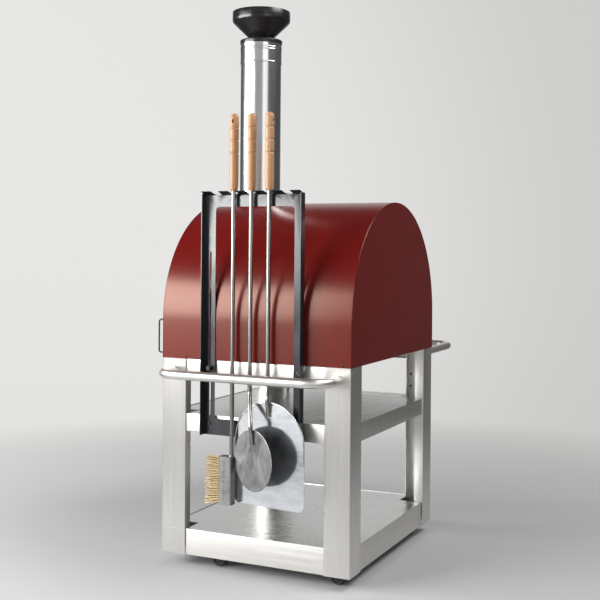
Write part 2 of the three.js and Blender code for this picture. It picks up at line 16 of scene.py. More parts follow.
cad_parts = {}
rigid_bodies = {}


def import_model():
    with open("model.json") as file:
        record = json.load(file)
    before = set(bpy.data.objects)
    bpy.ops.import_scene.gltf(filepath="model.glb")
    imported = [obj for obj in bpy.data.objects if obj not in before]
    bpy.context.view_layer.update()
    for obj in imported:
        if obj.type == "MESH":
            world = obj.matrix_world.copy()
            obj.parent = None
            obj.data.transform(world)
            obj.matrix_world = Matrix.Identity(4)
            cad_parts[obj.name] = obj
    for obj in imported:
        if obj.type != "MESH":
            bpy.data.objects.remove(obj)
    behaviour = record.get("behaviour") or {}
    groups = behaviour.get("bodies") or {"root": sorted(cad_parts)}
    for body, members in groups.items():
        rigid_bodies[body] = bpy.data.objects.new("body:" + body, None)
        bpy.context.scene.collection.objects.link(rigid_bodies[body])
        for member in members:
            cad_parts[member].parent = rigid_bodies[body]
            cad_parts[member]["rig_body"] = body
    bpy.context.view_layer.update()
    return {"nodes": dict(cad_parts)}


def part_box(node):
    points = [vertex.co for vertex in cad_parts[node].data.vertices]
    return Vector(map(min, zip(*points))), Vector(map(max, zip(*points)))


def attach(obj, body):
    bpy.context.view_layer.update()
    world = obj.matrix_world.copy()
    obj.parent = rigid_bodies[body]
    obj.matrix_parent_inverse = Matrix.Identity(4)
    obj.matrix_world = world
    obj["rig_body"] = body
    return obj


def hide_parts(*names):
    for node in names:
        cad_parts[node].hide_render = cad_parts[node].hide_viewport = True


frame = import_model()
print("parts in the measured model:", len(frame["nodes"]))

# %% [markdown]
# ## Where things are
# All pieces are drawn in millimetres from one point: the middle of the cart, at the foot of its legs.
# That point is worked out from the boxes of the four legs, so nothing has to be placed by eye.
# `span` gives the lowest and highest corner of any part in those same millimetres.

# %% The cart's own origin
leg_low = np.array(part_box("leg_front_left")[0])
leg_high = np.array(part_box("leg_rear_right")[1])
origin = np.array([(leg_low[0] + leg_high[0]) / 2, (leg_low[1] + leg_high[1]) / 2, leg_low[2]])
rng = np.random.default_rng(7)


def span(part):
    """Lowest and highest corner of a part, in millimetres from the cart's origin."""
    low, high = (np.array(corner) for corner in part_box(part))
    return (low - origin) * 1000, (high - origin) * 1000


print("cart origin in metres:", origin.round(4))

# %% [markdown]
# ## Surfaces from numbers
# Almost every piece here is a grid: rows of points along the piece, and each row a ring round it.
# `grid_faces` joins neighbouring rows with four-sided faces. A ring that closes on itself wraps
# round, and an open end gets a lid. `into_mesh` hands all the points to Blender at once, which is much
# quicker than adding them one by one, and marks sharp only the edges that turn by more than 35 degrees.
# A lid is one flat face with many corners. Smooth shading would bend its light towards the rounded
# edge beside it, which shows as a diagonal band across a big plate, so lids are shaded flat.


# %% Grids and meshes
def grid_faces(rows, cols, loop=False, first=0):
    """Quads between row i and row i+1 and column j and column j+1; columns always wrap round."""
    i = np.arange(rows if loop else rows - 1)[:, None]
    j = np.arange(cols)[None, :]
    down, right = (i + 1) % rows, (j + 1) % cols
    quads = np.stack([i * cols + j, i * cols + right, down * cols + right, down * cols + j], -1)
    return (quads.reshape(-1, 4) + first).tolist()


def shell_of(points, loop=False):
    """Points of shape (rows, cols, 3) as a closed surface: side quads, and a lid on each end."""
    rows, cols = points.shape[:2]
    faces = grid_faces(rows, cols, loop)
    if not loop:
        faces.append(list(range(cols))[::-1])
        faces.append([(rows - 1) * cols + j for j in range(cols)])
    return points.reshape(-1, 3), faces


def joined(*surfaces):
    """Several surfaces as one list of points and faces; each one's face numbers are moved on."""
    points, faces, start = [], [], 0
    for some_points, some_faces in surfaces:
        points.append(some_points)
        faces.extend([[corner + start for corner in face] for face in some_faces])
        start += len(some_points)
    return np.concatenate(points), faces


most_corners_of_a_smooth_face = 8


def into_mesh(name, surface, body, material, stands_for=(), sharp=35):
    """A new object from points in cart millimetres, riding on a body of the frame."""
    points, faces = surface
    mesh = bpy.data.meshes.new(name)
    mesh.from_pydata((origin + points / 1000).tolist(), [], faces)
    build = bmesh.new()
    build.from_mesh(mesh)
    bmesh.ops.remove_doubles(build, verts=build.verts, dist=2e-6)
    bmesh.ops.recalc_face_normals(build, faces=build.faces)
    build.to_mesh(mesh)
    build.free()
    mesh.shade_smooth()
    mesh.set_sharp_from_angle(angle=np.radians(sharp))
    corner_counts = np.zeros(len(mesh.polygons), np.int32)
    mesh.polygons.foreach_get("loop_total", corner_counts)
    mesh.polygons.foreach_set("use_smooth", corner_counts <= most_corners_of_a_smooth_face)
    piece = bpy.data.objects.new(name, mesh)
    bpy.context.scene.collection.objects.link(piece)
    mesh.materials.append(material)
    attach(piece, body)
    if stands_for:
        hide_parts(*stands_for)
    return piece


# %% [markdown]
# ## Bends, tubes and turned shapes
# Folded sheet never has a knife edge, so `rounded` swaps each corner of an outline for a short arc.
# The same function bends the path of a tube. `carried` slides a section along a path, and `turned`
# spins a profile round an axis, which is how a lathe or a metal spinner would make it.


# %% Outlines and sweeps
def rounded(corners, radius, steps=5, closed=True):
    """Each corner becomes an arc that touches both its sides.

    The arc starts r / tan(half the corner's angle) away from the corner, and runs between its two
    ends by mixing the two spokes from the arc's centre with sine weights.
    """
    p = np.asarray(corners, float)
    inner = p if closed else p[1:-1]
    before = (np.roll(p, 1, 0) if closed else p[:-2]) - inner
    after = (np.roll(p, -1, 0) if closed else p[2:]) - inner
    u = before / np.linalg.norm(before, axis=1, keepdims=True)
    v = after / np.linalg.norm(after, axis=1, keepdims=True)
    half = np.arccos(np.clip((u * v).sum(1), -1, 1))[:, None] / 2
    r = np.broadcast_to(np.asarray(radius, float).reshape(-1, 1), half.shape)
    away = r / np.tan(half)
    middle = (u + v) / np.linalg.norm(u + v, axis=1, keepdims=True)
    centre = inner + middle * r / np.sin(half)
    spoke_in, spoke_out = inner + u * away - centre, inner + v * away - centre
    turn = (np.pi - 2 * half)[:, None]
    t = np.linspace(0, 1, steps + 1)[None, :, None]
    arcs = centre[:, None] + (
        np.sin((1 - t) * turn) * spoke_in[:, None] + np.sin(t * turn) * spoke_out[:, None]
    ) / np.sin(turn)
    arcs = arcs.reshape(-1, p.shape[1])
    return arcs if closed else np.concatenate([p[:1], arcs, p[-1:]])


def carried(path, section, across):
    """A closed section of (a, b) carried along a path: point = path + a * side + b * up.

    side is square to the path and to the direction across; up is square to both.
    """
    path = np.asarray(path, float)
    tangent = np.gradient(path, axis=0)
    tangent /= np.linalg.norm(tangent, axis=1, keepdims=True)
    side = np.cross(tangent, across)
    side /= np.linalg.norm(side, axis=1, keepdims=True)
    up = np.cross(side, tangent)
    a, b = section[:, 0, None], section[:, 1, None]
    return path[:, None] + a * side[:, None] + b * up[:, None]


def circle(radius, sides=32):
    """Points of a circle: radius * (cos t, sin t)."""
    t = np.linspace(0, 2 * np.pi, sides, endpoint=False)
    return radius * np.stack([np.cos(t), np.sin(t)], -1)


def prism(outline, axis, start, stop, soft=0.4):
    """A flat outline carried straight along X, Y or Z, drawn in a little at both ends."""
    middle = (outline.max(0) + outline.min(0)) / 2
    size = (outline.max(0) - outline.min(0)) / 2
    shrink = 1 - soft / size
    drawn_in = middle + (outline - middle) * shrink
    sections = [drawn_in, outline, outline, drawn_in]
    places = [start, start + soft, stop - soft, stop]
    rows = [np.insert(section, axis, place, axis=1) for section, place in zip(sections, places)]
    return shell_of(np.stack(rows))


def turned(profile, centre, axis=2, sides=64, loop=False, wave=None):
    """A profile of (radius, height) spun round an axis through centre.

    Point = centre + radius * (cos t, sin t) across the axis + height along it. wave(t) may
    multiply the radius, for a fluted edge.
    """
    profile = np.asarray(profile, float)
    t = np.linspace(0, 2 * np.pi, sides, endpoint=False)
    r = profile[:, 0, None] * (np.ones_like(t) if wave is None else wave(t))
    ring = np.stack([r * np.cos(t), r * np.sin(t), np.broadcast_to(profile[:, 1, None], r.shape)], -1)
    return shell_of(np.roll(ring, axis + 1, axis=2) + np.asarray(centre, float), loop)


def body_of(part):
    return frame["nodes"][part]["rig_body"]


square = [[0, 0], [10, 0], [10, 10], [0, 10]]
print("a 10 mm square with its corners rounded has", len(rounded(square, 2)), "points")

# %% [markdown]
# ## Finishes
# Each finish starts from Blender's Principled shader. The numbers that are the same all over a
# surface sit on the shader itself. Noise that reads the Object coordinates adds what a real surface has:
# brushing lines in steel, the fine pebble of powder coat, the grain of wood. `stretch` squeezes the
# noise along some axes, which turns round blots into long streaks.


# %% Helpers for finishes
class Finish:
    """A material being built, with short ways to add noise, colour ramps and bump."""

    def __init__(self, name, colour, metallic, roughness, **more):
        self.material = bpy.data.materials.new(name)
        self.material.use_nodes = True
        self.nodes = self.material.node_tree.nodes
        self.links = self.material.node_tree.links
        self.shader = self.nodes["Principled BSDF"]
        self.place = self.nodes.new("ShaderNodeTexCoord").outputs["Object"]
        self.shader.inputs["Base Color"].default_value = (*colour, 1)
        self.shader.inputs["Metallic"].default_value = metallic
        self.shader.inputs["Roughness"].default_value = roughness
        for socket, value in more.items():
            self.shader.inputs[socket.replace("_", " ")].default_value = value

    def noise(self, scale, stretch=(1, 1, 1), detail=3, rough=0.5, warp=0.0):
        mapping = self.nodes.new("ShaderNodeMapping")
        mapping.inputs["Scale"].default_value = stretch
        self.links.new(self.place, mapping.inputs["Vector"])
        texture = self.nodes.new("ShaderNodeTexNoise")
        texture.inputs["Scale"].default_value = scale
        texture.inputs["Detail"].default_value = detail
        texture.inputs["Roughness"].default_value = rough
        texture.inputs["Distortion"].default_value = warp
        self.links.new(mapping.outputs["Vector"], texture.inputs["Vector"])
        return texture.outputs["Fac"]

    def between(self, value, low, high, start=0.3, stop=0.7):
        ramp = self.nodes.new("ShaderNodeMapRange")
        ramp.inputs["From Min"].default_value = start
        ramp.inputs["From Max"].default_value = stop
        ramp.inputs["To Min"].default_value = low
        ramp.inputs["To Max"].default_value = high
        self.links.new(value, ramp.inputs["Value"])
        return ramp.outputs["Result"]

    def blend(self, value, first, second, start=0.3, stop=0.7):
        ramp = self.nodes.new("ShaderNodeValToRGB")
        ramp.color_ramp.elements[0].position = start
        ramp.color_ramp.elements[1].position = stop
        for element, colour in zip(ramp.color_ramp.elements, (first, second)):
            element.color = (*colour, 1)
        self.links.new(value, ramp.inputs["Fac"])
        return ramp.outputs["Color"]

    def mixed(self, value, one, other):
        mix = self.nodes.new("ShaderNodeMix")
        mix.data_type = "RGBA"
        self.links.new(value, mix.inputs["Factor"])
        self.links.new(one, mix.inputs["A"])
        self.links.new(other, mix.inputs["B"])
        return mix.outputs["Result"]

    def colour(self, socket):
        self.links.new(socket, self.shader.inputs["Base Color"])
        return self

    def roughness(self, socket):
        self.links.new(socket, self.shader.inputs["Roughness"])
        return self

    def bump(self, socket, distance, strength=1.0):
        bump = self.nodes.new("ShaderNodeBump")
        bump.inputs["Distance"].default_value = distance / 1000
        bump.inputs["Strength"].default_value = strength
        self.links.new(socket, bump.inputs["Height"])
        before = self.shader.inputs["Normal"]
        if before.is_linked:
            self.links.new(before.links[0].from_socket, bump.inputs["Normal"])
        self.links.new(bump.outputs["Normal"], before)
        return self

    def brushed_along(self, axis, amount):
        """Reflections smear across the brushing: the tangent is the surface's normal x the axis."""
        cross = self.nodes.new("ShaderNodeVectorMath")
        cross.operation = "CROSS_PRODUCT"
        cross.inputs[1].default_value = [float(k == axis) for k in range(3)]
        self.links.new(self.nodes.new("ShaderNodeNewGeometry").outputs["Normal"], cross.inputs[0])
        self.links.new(cross.outputs["Vector"], self.shader.inputs["Tangent"])
        self.shader.inputs["Anisotropic"].default_value = amount
        return self


# %% [markdown]
# ### Steel
# The cart is brushed stainless steel. The brushing runs along each piece, so there are three steels
# that differ only in the way their streaks lie: upright for the legs, and along X or Y for the beams.
# Two layers of streaks, one fine and one broad, change the roughness a little from line to line, and
# a slow cloud of lighter and darker metal keeps large faces from looking printed. Fine scratches also
# smear a reflection across themselves, and hardly along themselves. `smear` sets how strongly, and the
# shader needs a tangent for it: the surface's normal crossed with the direction of the brushing.

# %% Steel finishes
pale_steel = (0.80, 0.785, 0.75)
shadow_steel = (0.69, 0.68, 0.65)


def brushed(name, along, smear=0.8, light=pale_steel, dark=shadow_steel, roughness=(0.34, 0.44),
            depth=0.012):
    """Metal with streaks along one axis: the noise is squeezed to 1/60 of its size that way."""
    stretch = [1.0, 1.0, 1.0]
    stretch[along] = 1 / 60
    steel = Finish(name, light, 1.0, 0.3)
    fine = steel.noise(900, stretch, detail=2)
    broad = steel.noise(130, stretch, detail=3)
    cloud = steel.noise(5, detail=2)
    steel.colour(steel.mixed(steel.between(cloud, 0.15, 0.85), steel.blend(broad, dark, light),
                             steel.blend(fine, dark, light)))
    steel.roughness(steel.between(broad, *roughness))
    steel.bump(fine, depth)
    steel.brushed_along(along, smear)
    return steel.material


leg_steel = brushed("steel_brushed_upright", 2)
beam_steel_x = brushed("steel_brushed_along_x", 0, 0.5)
beam_steel_y = brushed("steel_brushed_along_y", 1, 0.1)
shelf_steel = brushed("shelf_sheet_steel", 1, 0.0, light=(0.52, 0.52, 0.52), dark=(0.47, 0.47, 0.475),
                      roughness=(0.25, 0.31), depth=0.003)
pipe_steel = brushed("chimney_pipe_steel", 2, 0.0, light=(0.62, 0.62, 0.63), dark=(0.54, 0.54, 0.55),
                     roughness=(0.17, 0.24), depth=0.004)

tube_finish = Finish("rail_tube_steel", (0.80, 0.78, 0.75), 1.0, 0.36)
tube_grain = tube_finish.noise(420, detail=3)
tube_finish.roughness(tube_finish.between(tube_grain, 0.33, 0.40)).bump(tube_grain, 0.008)
tube_steel = tube_finish.material

rod_finish = Finish("tool_rod_steel", (0.30, 0.293, 0.277), 1.0, 0.25)
rod_finish.roughness(rod_finish.between(rod_finish.noise(300, (1, 1, 0.02)), 0.23, 0.27))
rod_steel = rod_finish.material

bright_finish = Finish("collar_bright_steel", (0.66, 0.66, 0.66), 1.0, 0.16)
bright_finish.roughness(bright_finish.between(bright_finish.noise(300, (1, 1, 6)), 0.12, 0.22))
bright_steel = bright_finish.material
print("steels made:", sum("steel" in material.name for material in bpy.data.materials))

# %% [markdown]
# ### Tool steel
# The pizza peel's blade is nearly a mirror, with fine rubbed scratches. The small turning peel is
# bare aluminium that has been scuffed in use: soft clouds of duller and shinier metal, and long
# scratches. Both are one shader with different noise on the roughness and the colour.

# %% Peel finishes
mirror = Finish("peel_blade_polished", (0.74, 0.755, 0.78), 1.0, 0.12)
rubbed = mirror.noise(26, (1, 0.5, 1.6), detail=5, rough=0.62, warp=0.6)
scratch = mirror.noise(420, (1, 0.04, 1), detail=2)
mirror.colour(mirror.blend(rubbed, (0.58, 0.61, 0.65), (0.78, 0.79, 0.80)))
mirror.roughness(mirror.between(rubbed, 0.09, 0.20)).bump(scratch, 0.004)
peel_blade_steel = mirror.material

scuffed = Finish("turning_peel_scuffed", (0.52, 0.52, 0.52), 1.0, 0.42)
clouds = scuffed.noise(14, (1, 1.2, 0.7), detail=6, rough=0.6, warp=1.2)
marks = scuffed.noise(260, (1, 0.12, 1), detail=3, warp=0.4)
scuffed.colour(scuffed.mixed(scuffed.between(marks, 0.2, 0.6),
                             scuffed.blend(clouds, (0.12, 0.123, 0.127), (0.32, 0.32, 0.31)),
                             scuffed.blend(marks, (0.22, 0.22, 0.23), (0.34, 0.34, 0.33))))
scuffed.roughness(scuffed.between(clouds, 0.34, 0.52)).bump(marks, 0.03)
turning_peel_steel = scuffed.material

# %% [markdown]
# ### Coats
# The vault has a satin red powder coat. Powder coat melts into a fine orange-peel, so a small bump
# sits under a soft gloss. The rack, the cowl and the door handles are black: the same recipe,
# with a coarser pebble and less gloss. Wear shows first where the coat is rubbed, so the rack is a
# little greyer in slow patches.

# %% Painted finishes
red = Finish("vault_red_coat", (0.20, 0.006, 0.005), 0.0, 0.27, IOR=1.5,
             Specular_Tint=(1.0, 0.72, 0.58, 1.0))
peel_skin = red.noise(1400, detail=2)
red_cloud = red.noise(6, detail=3)
red.colour(red.mixed(red.between(red_cloud, 0.0, 1.0),
                     red.blend(peel_skin, (0.078, 0.0022, 0.002), (0.105, 0.003, 0.0027)),
                     red.blend(peel_skin, (0.09, 0.0027, 0.0024), (0.12, 0.0036, 0.0032))))
red.roughness(red.between(peel_skin, 0.24, 0.30)).bump(peel_skin, 0.035)
red_coat = red.material


def black_finish(name, tone, roughness, pebble, depth):
    """Black paint: dark grey that varies slowly, and a pebbled bump."""
    black = Finish(name, tone, 0.0, roughness)
    grit = black.noise(pebble, detail=2)
    patch = black.noise(9, detail=4, rough=0.6)
    lighter = tuple(1.6 * channel for channel in tone)
    black.colour(black.blend(patch, tone, lighter, 0.35, 0.75))
    black.roughness(black.between(patch, roughness - 0.05, roughness + 0.07)).bump(grit, depth)
    return black.material


rack_black = black_finish("rack_black_coat", (0.009, 0.0105, 0.0135), 0.22, 1100, 0.002)
rack_black.node_tree.nodes["Principled BSDF"].inputs["IOR"].default_value = 1.6
cowl_black = black_finish("cowl_black_coat", (0.006, 0.006, 0.007), 0.26, 900, 0.01)
handle_black = black_finish("handle_black_coat", (0.014, 0.015, 0.016), 0.4, 1200, 0.01)
knob_black = black_finish("knob_black_plastic", (0.01, 0.01, 0.011), 0.3, 700, 0.01)
screw_dark = black_finish("screw_dark_steel", (0.028, 0.024, 0.022), 0.38, 800, 0.01)
tyre_black = black_finish("wheel_rubber_black", (0.012, 0.012, 0.0125), 0.6, 500, 0.04)

# %% [markdown]
# ### Wood, brass, stone and fibre
# The grips are beech. Its rings are long cones round the grain, so noise squeezed along Z by a
# factor of forty gives the lines, and tiny dark flecks run the same way. The brush's strands are brass
# coated steel. The dome is cast refractory, pitted and darkened by smoke, on a hearth of pale stone.

# %% Natural finishes
wood = Finish("grip_beech", (0.62, 0.40, 0.22), 0.0, 0.5)
rings = wood.noise(150, (1, 1, 0.025), detail=3, warp=0.6)
fleck = wood.noise(620, (1, 1, 0.05), detail=2)
wood.colour(wood.mixed(wood.between(fleck, 0, 0.55, 0.5, 0.75),
                       wood.blend(rings, (0.33, 0.165, 0.078), (0.49, 0.285, 0.16)),
                       wood.blend(fleck, (0.30, 0.15, 0.06), (0.42, 0.23, 0.10))))
wood.roughness(wood.between(rings, 0.42, 0.58)).bump(fleck, 0.05)
beech = wood.material

bristle = Finish("brush_brass", (0.62, 0.46, 0.22), 0.35, 0.45)
bristle.colour(bristle.blend(bristle.noise(160, detail=2), (0.21, 0.145, 0.06), (0.42, 0.33, 0.18)))
bristle_brass = bristle.material

cast = Finish("dome_refractory", (0.48, 0.40, 0.31), 0.0, 0.92)
pits, soot = cast.noise(160, detail=5, rough=0.7), cast.noise(5, detail=4)
cast.colour(cast.mixed(cast.between(soot, 0, 0.8), cast.blend(pits, (0.40, 0.33, 0.25), (0.58, 0.50, 0.40)),
                       cast.blend(pits, (0.10, 0.085, 0.07), (0.24, 0.20, 0.16))))
cast.bump(pits, 0.9)
refractory = cast.material

stone = Finish("hearth_stone", (0.50, 0.45, 0.38), 0.0, 0.85)
sand = stone.noise(220, detail=5, rough=0.7)
stone.colour(stone.blend(sand, (0.40, 0.34, 0.27), (0.60, 0.54, 0.46))).bump(sand, 0.4)
hearth_stone = stone.material

wool = Finish("ceramic_fibre", (0.80, 0.78, 0.72), 0.0, 1.0)
lint = wool.noise(300, (1, 0.2, 1), detail=5, warp=0.8)
wool.colour(wool.blend(lint, (0.70, 0.67, 0.60), (0.88, 0.87, 0.83))).bump(lint, 1.2)
ceramic_fibre = wool.material
print("finishes made:", len(bpy.data.materials))

# %% [markdown]
# ## Camera, light and floor
# The camera looks a little down the side of the oven from standing height, level, with a long lens.
# The picture is slid down with the lens shift, so that uprights stay upright, as an architect's
# camera does. Its place is measured from the cart's origin.

# %% Camera
camera_data = bpy.data.cameras.new("camera")
camera = bpy.data.objects.new("camera", camera_data)
bpy.context.scene.collection.objects.link(camera)
camera_data.sensor_width = 36
camera_data.lens = 62.53
camera_data.shift_y = -0.0885
camera_data.clip_end = 60
camera.location = Vector(origin + np.array([3887.1, 1795.4, 1181.3]) / 1000)
yaw, roll = 0.43856, 0.0083
ahead = Vector((-np.cos(yaw), -np.sin(yaw), 0))
camera.rotation_mode = "QUATERNION"
camera.rotation_quaternion = ahead.to_track_quat("-Z", "Y") @ Matrix.Rotation(roll, 3, "Z").to_quaternion()
bpy.context.scene.camera = camera
bpy.context.scene.view_settings.view_transform = "Standard"
print("camera to cart in metres:", round((camera.location - Vector(origin)).length, 3))

# %% [markdown]
# Polished steel shows the studio more than it shows itself, so the light is built for the
# reflections. A wide softbox stands in front and to one side, from the vault's height upwards: the
# vault's bright band is its reflection. A small strong lamp further round gives the rods their soft
# shadows, and weaker cards fill the legs, the floor's reflection and the far end.
# The room is pale where it should reflect pale, and dark behind the far end, which keeps the
# steel from looking flat. The camera sees a backdrop glow instead of the room, with painted light
# in it: brighter towards the softbox side and a little darker low down, as lit paper would look.


# %% Lights
def softbox(name, azimuth, elevation, distance, width, height, radiance, aim=900):
    """An area light at a direction from the vault. Its power is radiance * pi * area."""
    data = bpy.data.lights.new(name, "AREA")
    data.shape = "RECTANGLE"
    data.size, data.size_y = width, height
    data.energy = radiance * np.pi * width * height
    lamp = bpy.data.objects.new(name, data)
    bpy.context.scene.collection.objects.link(lamp)
    a, e = np.radians([azimuth, elevation])
    out = Vector((np.cos(a) * np.cos(e), np.sin(a) * np.cos(e), np.sin(e)))
    lamp.location = Vector(origin) + Vector((0, 0, aim / 1000)) + out * distance
    lamp.rotation_euler = (-out).to_track_quat("-Z", "Y").to_euler()
    lamp.visible_camera = False
    return lamp


softbox("main_softbox", -43, 13.5, 4.2, 3.5, 2.1, 14.5)
softbox("low_key", -66, 14, 4.6, 0.5, 0.5, 56.0)
softbox("low_card", -37, -11, 3.33, 0.95, 0.8, 0.9)
softbox("floor_card", -22, -10, 3.5, 1.2, 0.7, 0.6)
softbox("side_fill", 50, 16, 4.5, 2.2, 2.6, 1.3)
softbox("far_end_light", 96, 50, 4.2, 2.2, 1.8, 13.0)

world = bpy.data.worlds.new("studio")
bpy.context.scene.world = world
world.use_nodes = True
sky, wire = world.node_tree.nodes, world.node_tree.links
sky.clear()


def sky_node(kind, **values):
    node = sky.new(kind)
    for key, value in values.items():
        setattr(node, key, value)
    return node


direction = sky_node("ShaderNodeTexCoord").outputs["Generated"]


def toward(azimuth, elevation, start, stop, low, high):
    """A soft step that grows as the direction nears (azimuth, elevation): a dot product, remapped."""
    a, e = np.radians([azimuth, elevation])
    dot = sky_node("ShaderNodeVectorMath", operation="DOT_PRODUCT")
    wire.new(direction, dot.inputs[0])
    dot.inputs[1].default_value = (np.cos(a) * np.cos(e), np.sin(a) * np.cos(e), np.sin(e))
    ramp = sky_node("ShaderNodeMapRange", interpolation_type="SMOOTHSTEP")
    for socket, value in zip(("From Min", "From Max", "To Min", "To Max"), (start, stop, low, high)):
        ramp.inputs[socket].default_value = value
    wire.new(dot.outputs["Value"], ramp.inputs["Value"])
    return ramp.outputs["Result"]


def combine(operation, one, other):
    node = sky_node("ShaderNodeMath", operation=operation)
    wire.new(one, node.inputs[0])
    wire.new(other, node.inputs[1])
    return node.outputs[0]


def glow(strength):
    background = sky_node("ShaderNodeBackground")
    background.inputs["Color"].default_value = (1, 0.992, 0.975, 1)
    wire.new(strength, background.inputs["Strength"])
    return background.outputs[0]


room = combine("ADD", toward(12, 5, 0.5, 0.95, 0.11, 0.5), toward(-155, 9, 0.86, 0.98, 0.0, 0.75))
# Painted light: the camera's backdrop glow is brighter towards the softbox side and a little darker below
# the horizon
backdrop = combine("MULTIPLY", toward(-135, 0, 0.80, 0.98, 0.62, 0.80),
                   toward(0, -90, 0.0, 0.30, 1.0, 0.95))
is_camera = sky_node("ShaderNodeLightPath").outputs["Is Camera Ray"]
choose = sky_node("ShaderNodeMixShader")
wire.new(is_camera, choose.inputs[0])
wire.new(glow(room), choose.inputs[1])
wire.new(glow(backdrop), choose.inputs[2])
wire.new(choose.outputs[0], sky_node("ShaderNodeOutputWorld").inputs["Surface"])
print("lights:", [light.name for light in bpy.data.lights])

# %% [markdown]
# The floor is a large pale disc. Its edge fades into the backdrop, so that no horizon line shows,
# and only the soft contact shadow under the cart tells where it is.

# %% Floor
floor_mesh = bpy.data.meshes.new("floor")
rim = np.insert(circle(9.0, 96), 2, 0, axis=1) + [origin[0], origin[1], 0]
floor_mesh.from_pydata(rim.tolist(), [], [list(range(96))])
floor = bpy.data.objects.new("floor", floor_mesh)
bpy.context.scene.collection.objects.link(floor)
paper = Finish("floor_paper", (0.40, 0.40, 0.405), 0.0, 0.7)
radial = paper.nodes.new("ShaderNodeVectorMath")
radial.operation = "LENGTH"
paper.links.new(paper.place, radial.inputs[0])
clear = paper.nodes.new("ShaderNodeBsdfTransparent")
fade = paper.nodes.new("ShaderNodeMixShader")
paper.links.new(paper.between(radial.outputs["Value"], 0.0, 1.0, 1.0, 3.2), fade.inputs[0])
paper.links.new(paper.shader.outputs[0], fade.inputs[1])
paper.links.new(clear.outputs[0], fade.inputs[2])
paper.links.new(fade.outputs[0], paper.nodes["Material Output"].inputs["Surface"])
floor_mesh.materials.append(paper.material)

# %% [markdown]
# ## The cart
# Each leg is one sheet of 3 mm steel folded four times: two broad faces at the corner, and a narrow lip
# turned in at the edge of each, which hides the sharp edge and stiffens the post. Below the
# lowest beam the lips stop. The folds have a radius of about the sheet's own thickness, and that
# thin rounded line along every edge is what makes folded steel look real.

# %% Legs
leg_sheet, leg_lip = 3.0, 38.0
lower_beam_top = span("lower_beam_right")[1][2]


def leg(part):
    """Two prisms, one above the other: a plain angle below, the lipped section above."""
    low, high = span(part)
    sx, sy = np.sign((low + high)[:2])
    wide_x, wide_y, t = high[0] - low[0], high[1] - low[1], leg_sheet
    corner = np.array([sx * max(abs(low[0]), abs(high[0])), sy * max(abs(low[1]), abs(high[1]))])
    angle = np.array([[0, 0], [0, wide_y], [t, wide_y], [t, t], [wide_x, t], [wide_x, 0]])
    lipped = np.array([[0, 0], [0, wide_y], [leg_lip, wide_y], [leg_lip, wide_y - t], [t, wide_y - t],
                       [t, t], [wide_x - t, t], [wide_x - t, leg_lip], [wide_x, leg_lip], [wide_x, 0]])
    place = np.array([-sx, -sy])
    angle = rounded(angle, [3.6, 0.8, 0.8, 0.9, 0.8, 0.8])
    lipped = rounded(lipped, [3.6, 3.6, 0.8, 0.8, 0.9, 0.9, 0.9, 0.8, 0.8, 3.6])
    foot = prism(corner + place * angle, 2, low[2], lower_beam_top)
    post = prism(corner + place * lipped, 2, lower_beam_top, high[2])
    return into_mesh(part + "_folded", joined(foot, post), body_of(part), leg_steel,
                     [part])


for end in ("front", "rear"):
    for side in ("right", "left"):
        leg(f"leg_{end}_{side}")
print("leg height in mm:", round(span("leg_front_right")[1][2]))

# %% [markdown]
# The beams are channels with their open side turned in. The web of each stands a few millimetres
# above its top flange, and makes the rim in which a shelf sits.

# %% Beams
beam_sheet = 2.5


def beam(part, along, foot, step):
    """The channel's section (depth inwards, height) carried from leg to leg."""
    low, high = span(part)
    across = 1 - along
    side = np.sign(low[across] + high[across])
    face = max(abs(low[across]), abs(high[across]))
    depth, base, top, t = high[across] - low[across], low[2], high[2], beam_sheet
    seat = top - step
    lip = [[t, top], [t, seat]] if step else []
    section = np.array([[0, base], [0, top], *lip, [depth, seat], [depth, seat - t], [t, seat - t],
                        [t, base + t], [foot, base + t], [foot, base]])
    folds = [2.2, 2.2 if not step else 0.6, *([0.6, 0.6] if step else []), 0.7, 0.7, 0.6, 0.6, 0.7, 0.7]
    section = rounded(section, folds)
    outline = np.stack([side * (face - section[:, 0]), section[:, 1]], -1)
    surface = prism(outline, along, low[along], high[along])
    steel = beam_steel_y if along == 1 else beam_steel_x
    return into_mesh(part + "_folded", surface, body_of(part), steel, [part])


for side in ("right", "left"):
    beam("lower_beam_" + side, 1, 10, 4.8)
    beam("mid_beam_" + side, 1, 38, 4.8)
    beam("top_beam_" + side, 1, 38, 0)
for end in ("front", "rear"):
    beam("lower_beam_" + end, 0, 10, 4.8)
    beam("mid_beam_" + end, 0, 38, 4.8)

# %% [markdown]
# The two shelves, the side shelf's plate and the channels that carry the casters are flat sheet, and the
# measured parts already have the right shape. They keep it, and only get a finish. A copy of each
# measured part would be merged and bevelled if its edges showed from close by, as below.


# %% Measured parts that only need a finish
def finish_part(part, material):
    mesh = frame["nodes"][part].data
    mesh.materials.clear()
    mesh.materials.append(material)


def softened(part, material, width, segments=2, angle=30):
    """A merged copy of a measured part, with every sharp edge rounded by a Bevel modifier."""
    piece = bpy.data.objects.new(part + "_softened", frame["nodes"][part].data.copy())
    bpy.context.scene.collection.objects.link(piece)
    build = bmesh.new()
    build.from_mesh(piece.data)
    bmesh.ops.remove_doubles(build, verts=build.verts, dist=2e-5)
    bmesh.ops.dissolve_limit(build, angle_limit=np.radians(0.5), verts=build.verts, edges=build.edges)
    build.to_mesh(piece.data)
    build.free()
    piece.data.materials.clear()
    piece.data.materials.append(material)
    piece.data.shade_smooth()
    piece.data.set_sharp_from_angle(angle=np.radians(angle))
    bevel = piece.modifiers.new("soft_edges", "BEVEL")
    bevel.width, bevel.segments, bevel.limit_method = width / 1000, segments, "ANGLE"
    bevel.angle_limit = np.radians(angle)
    bevel.harden_normals = True
    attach(piece, body_of(part))
    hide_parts(part)
    return piece


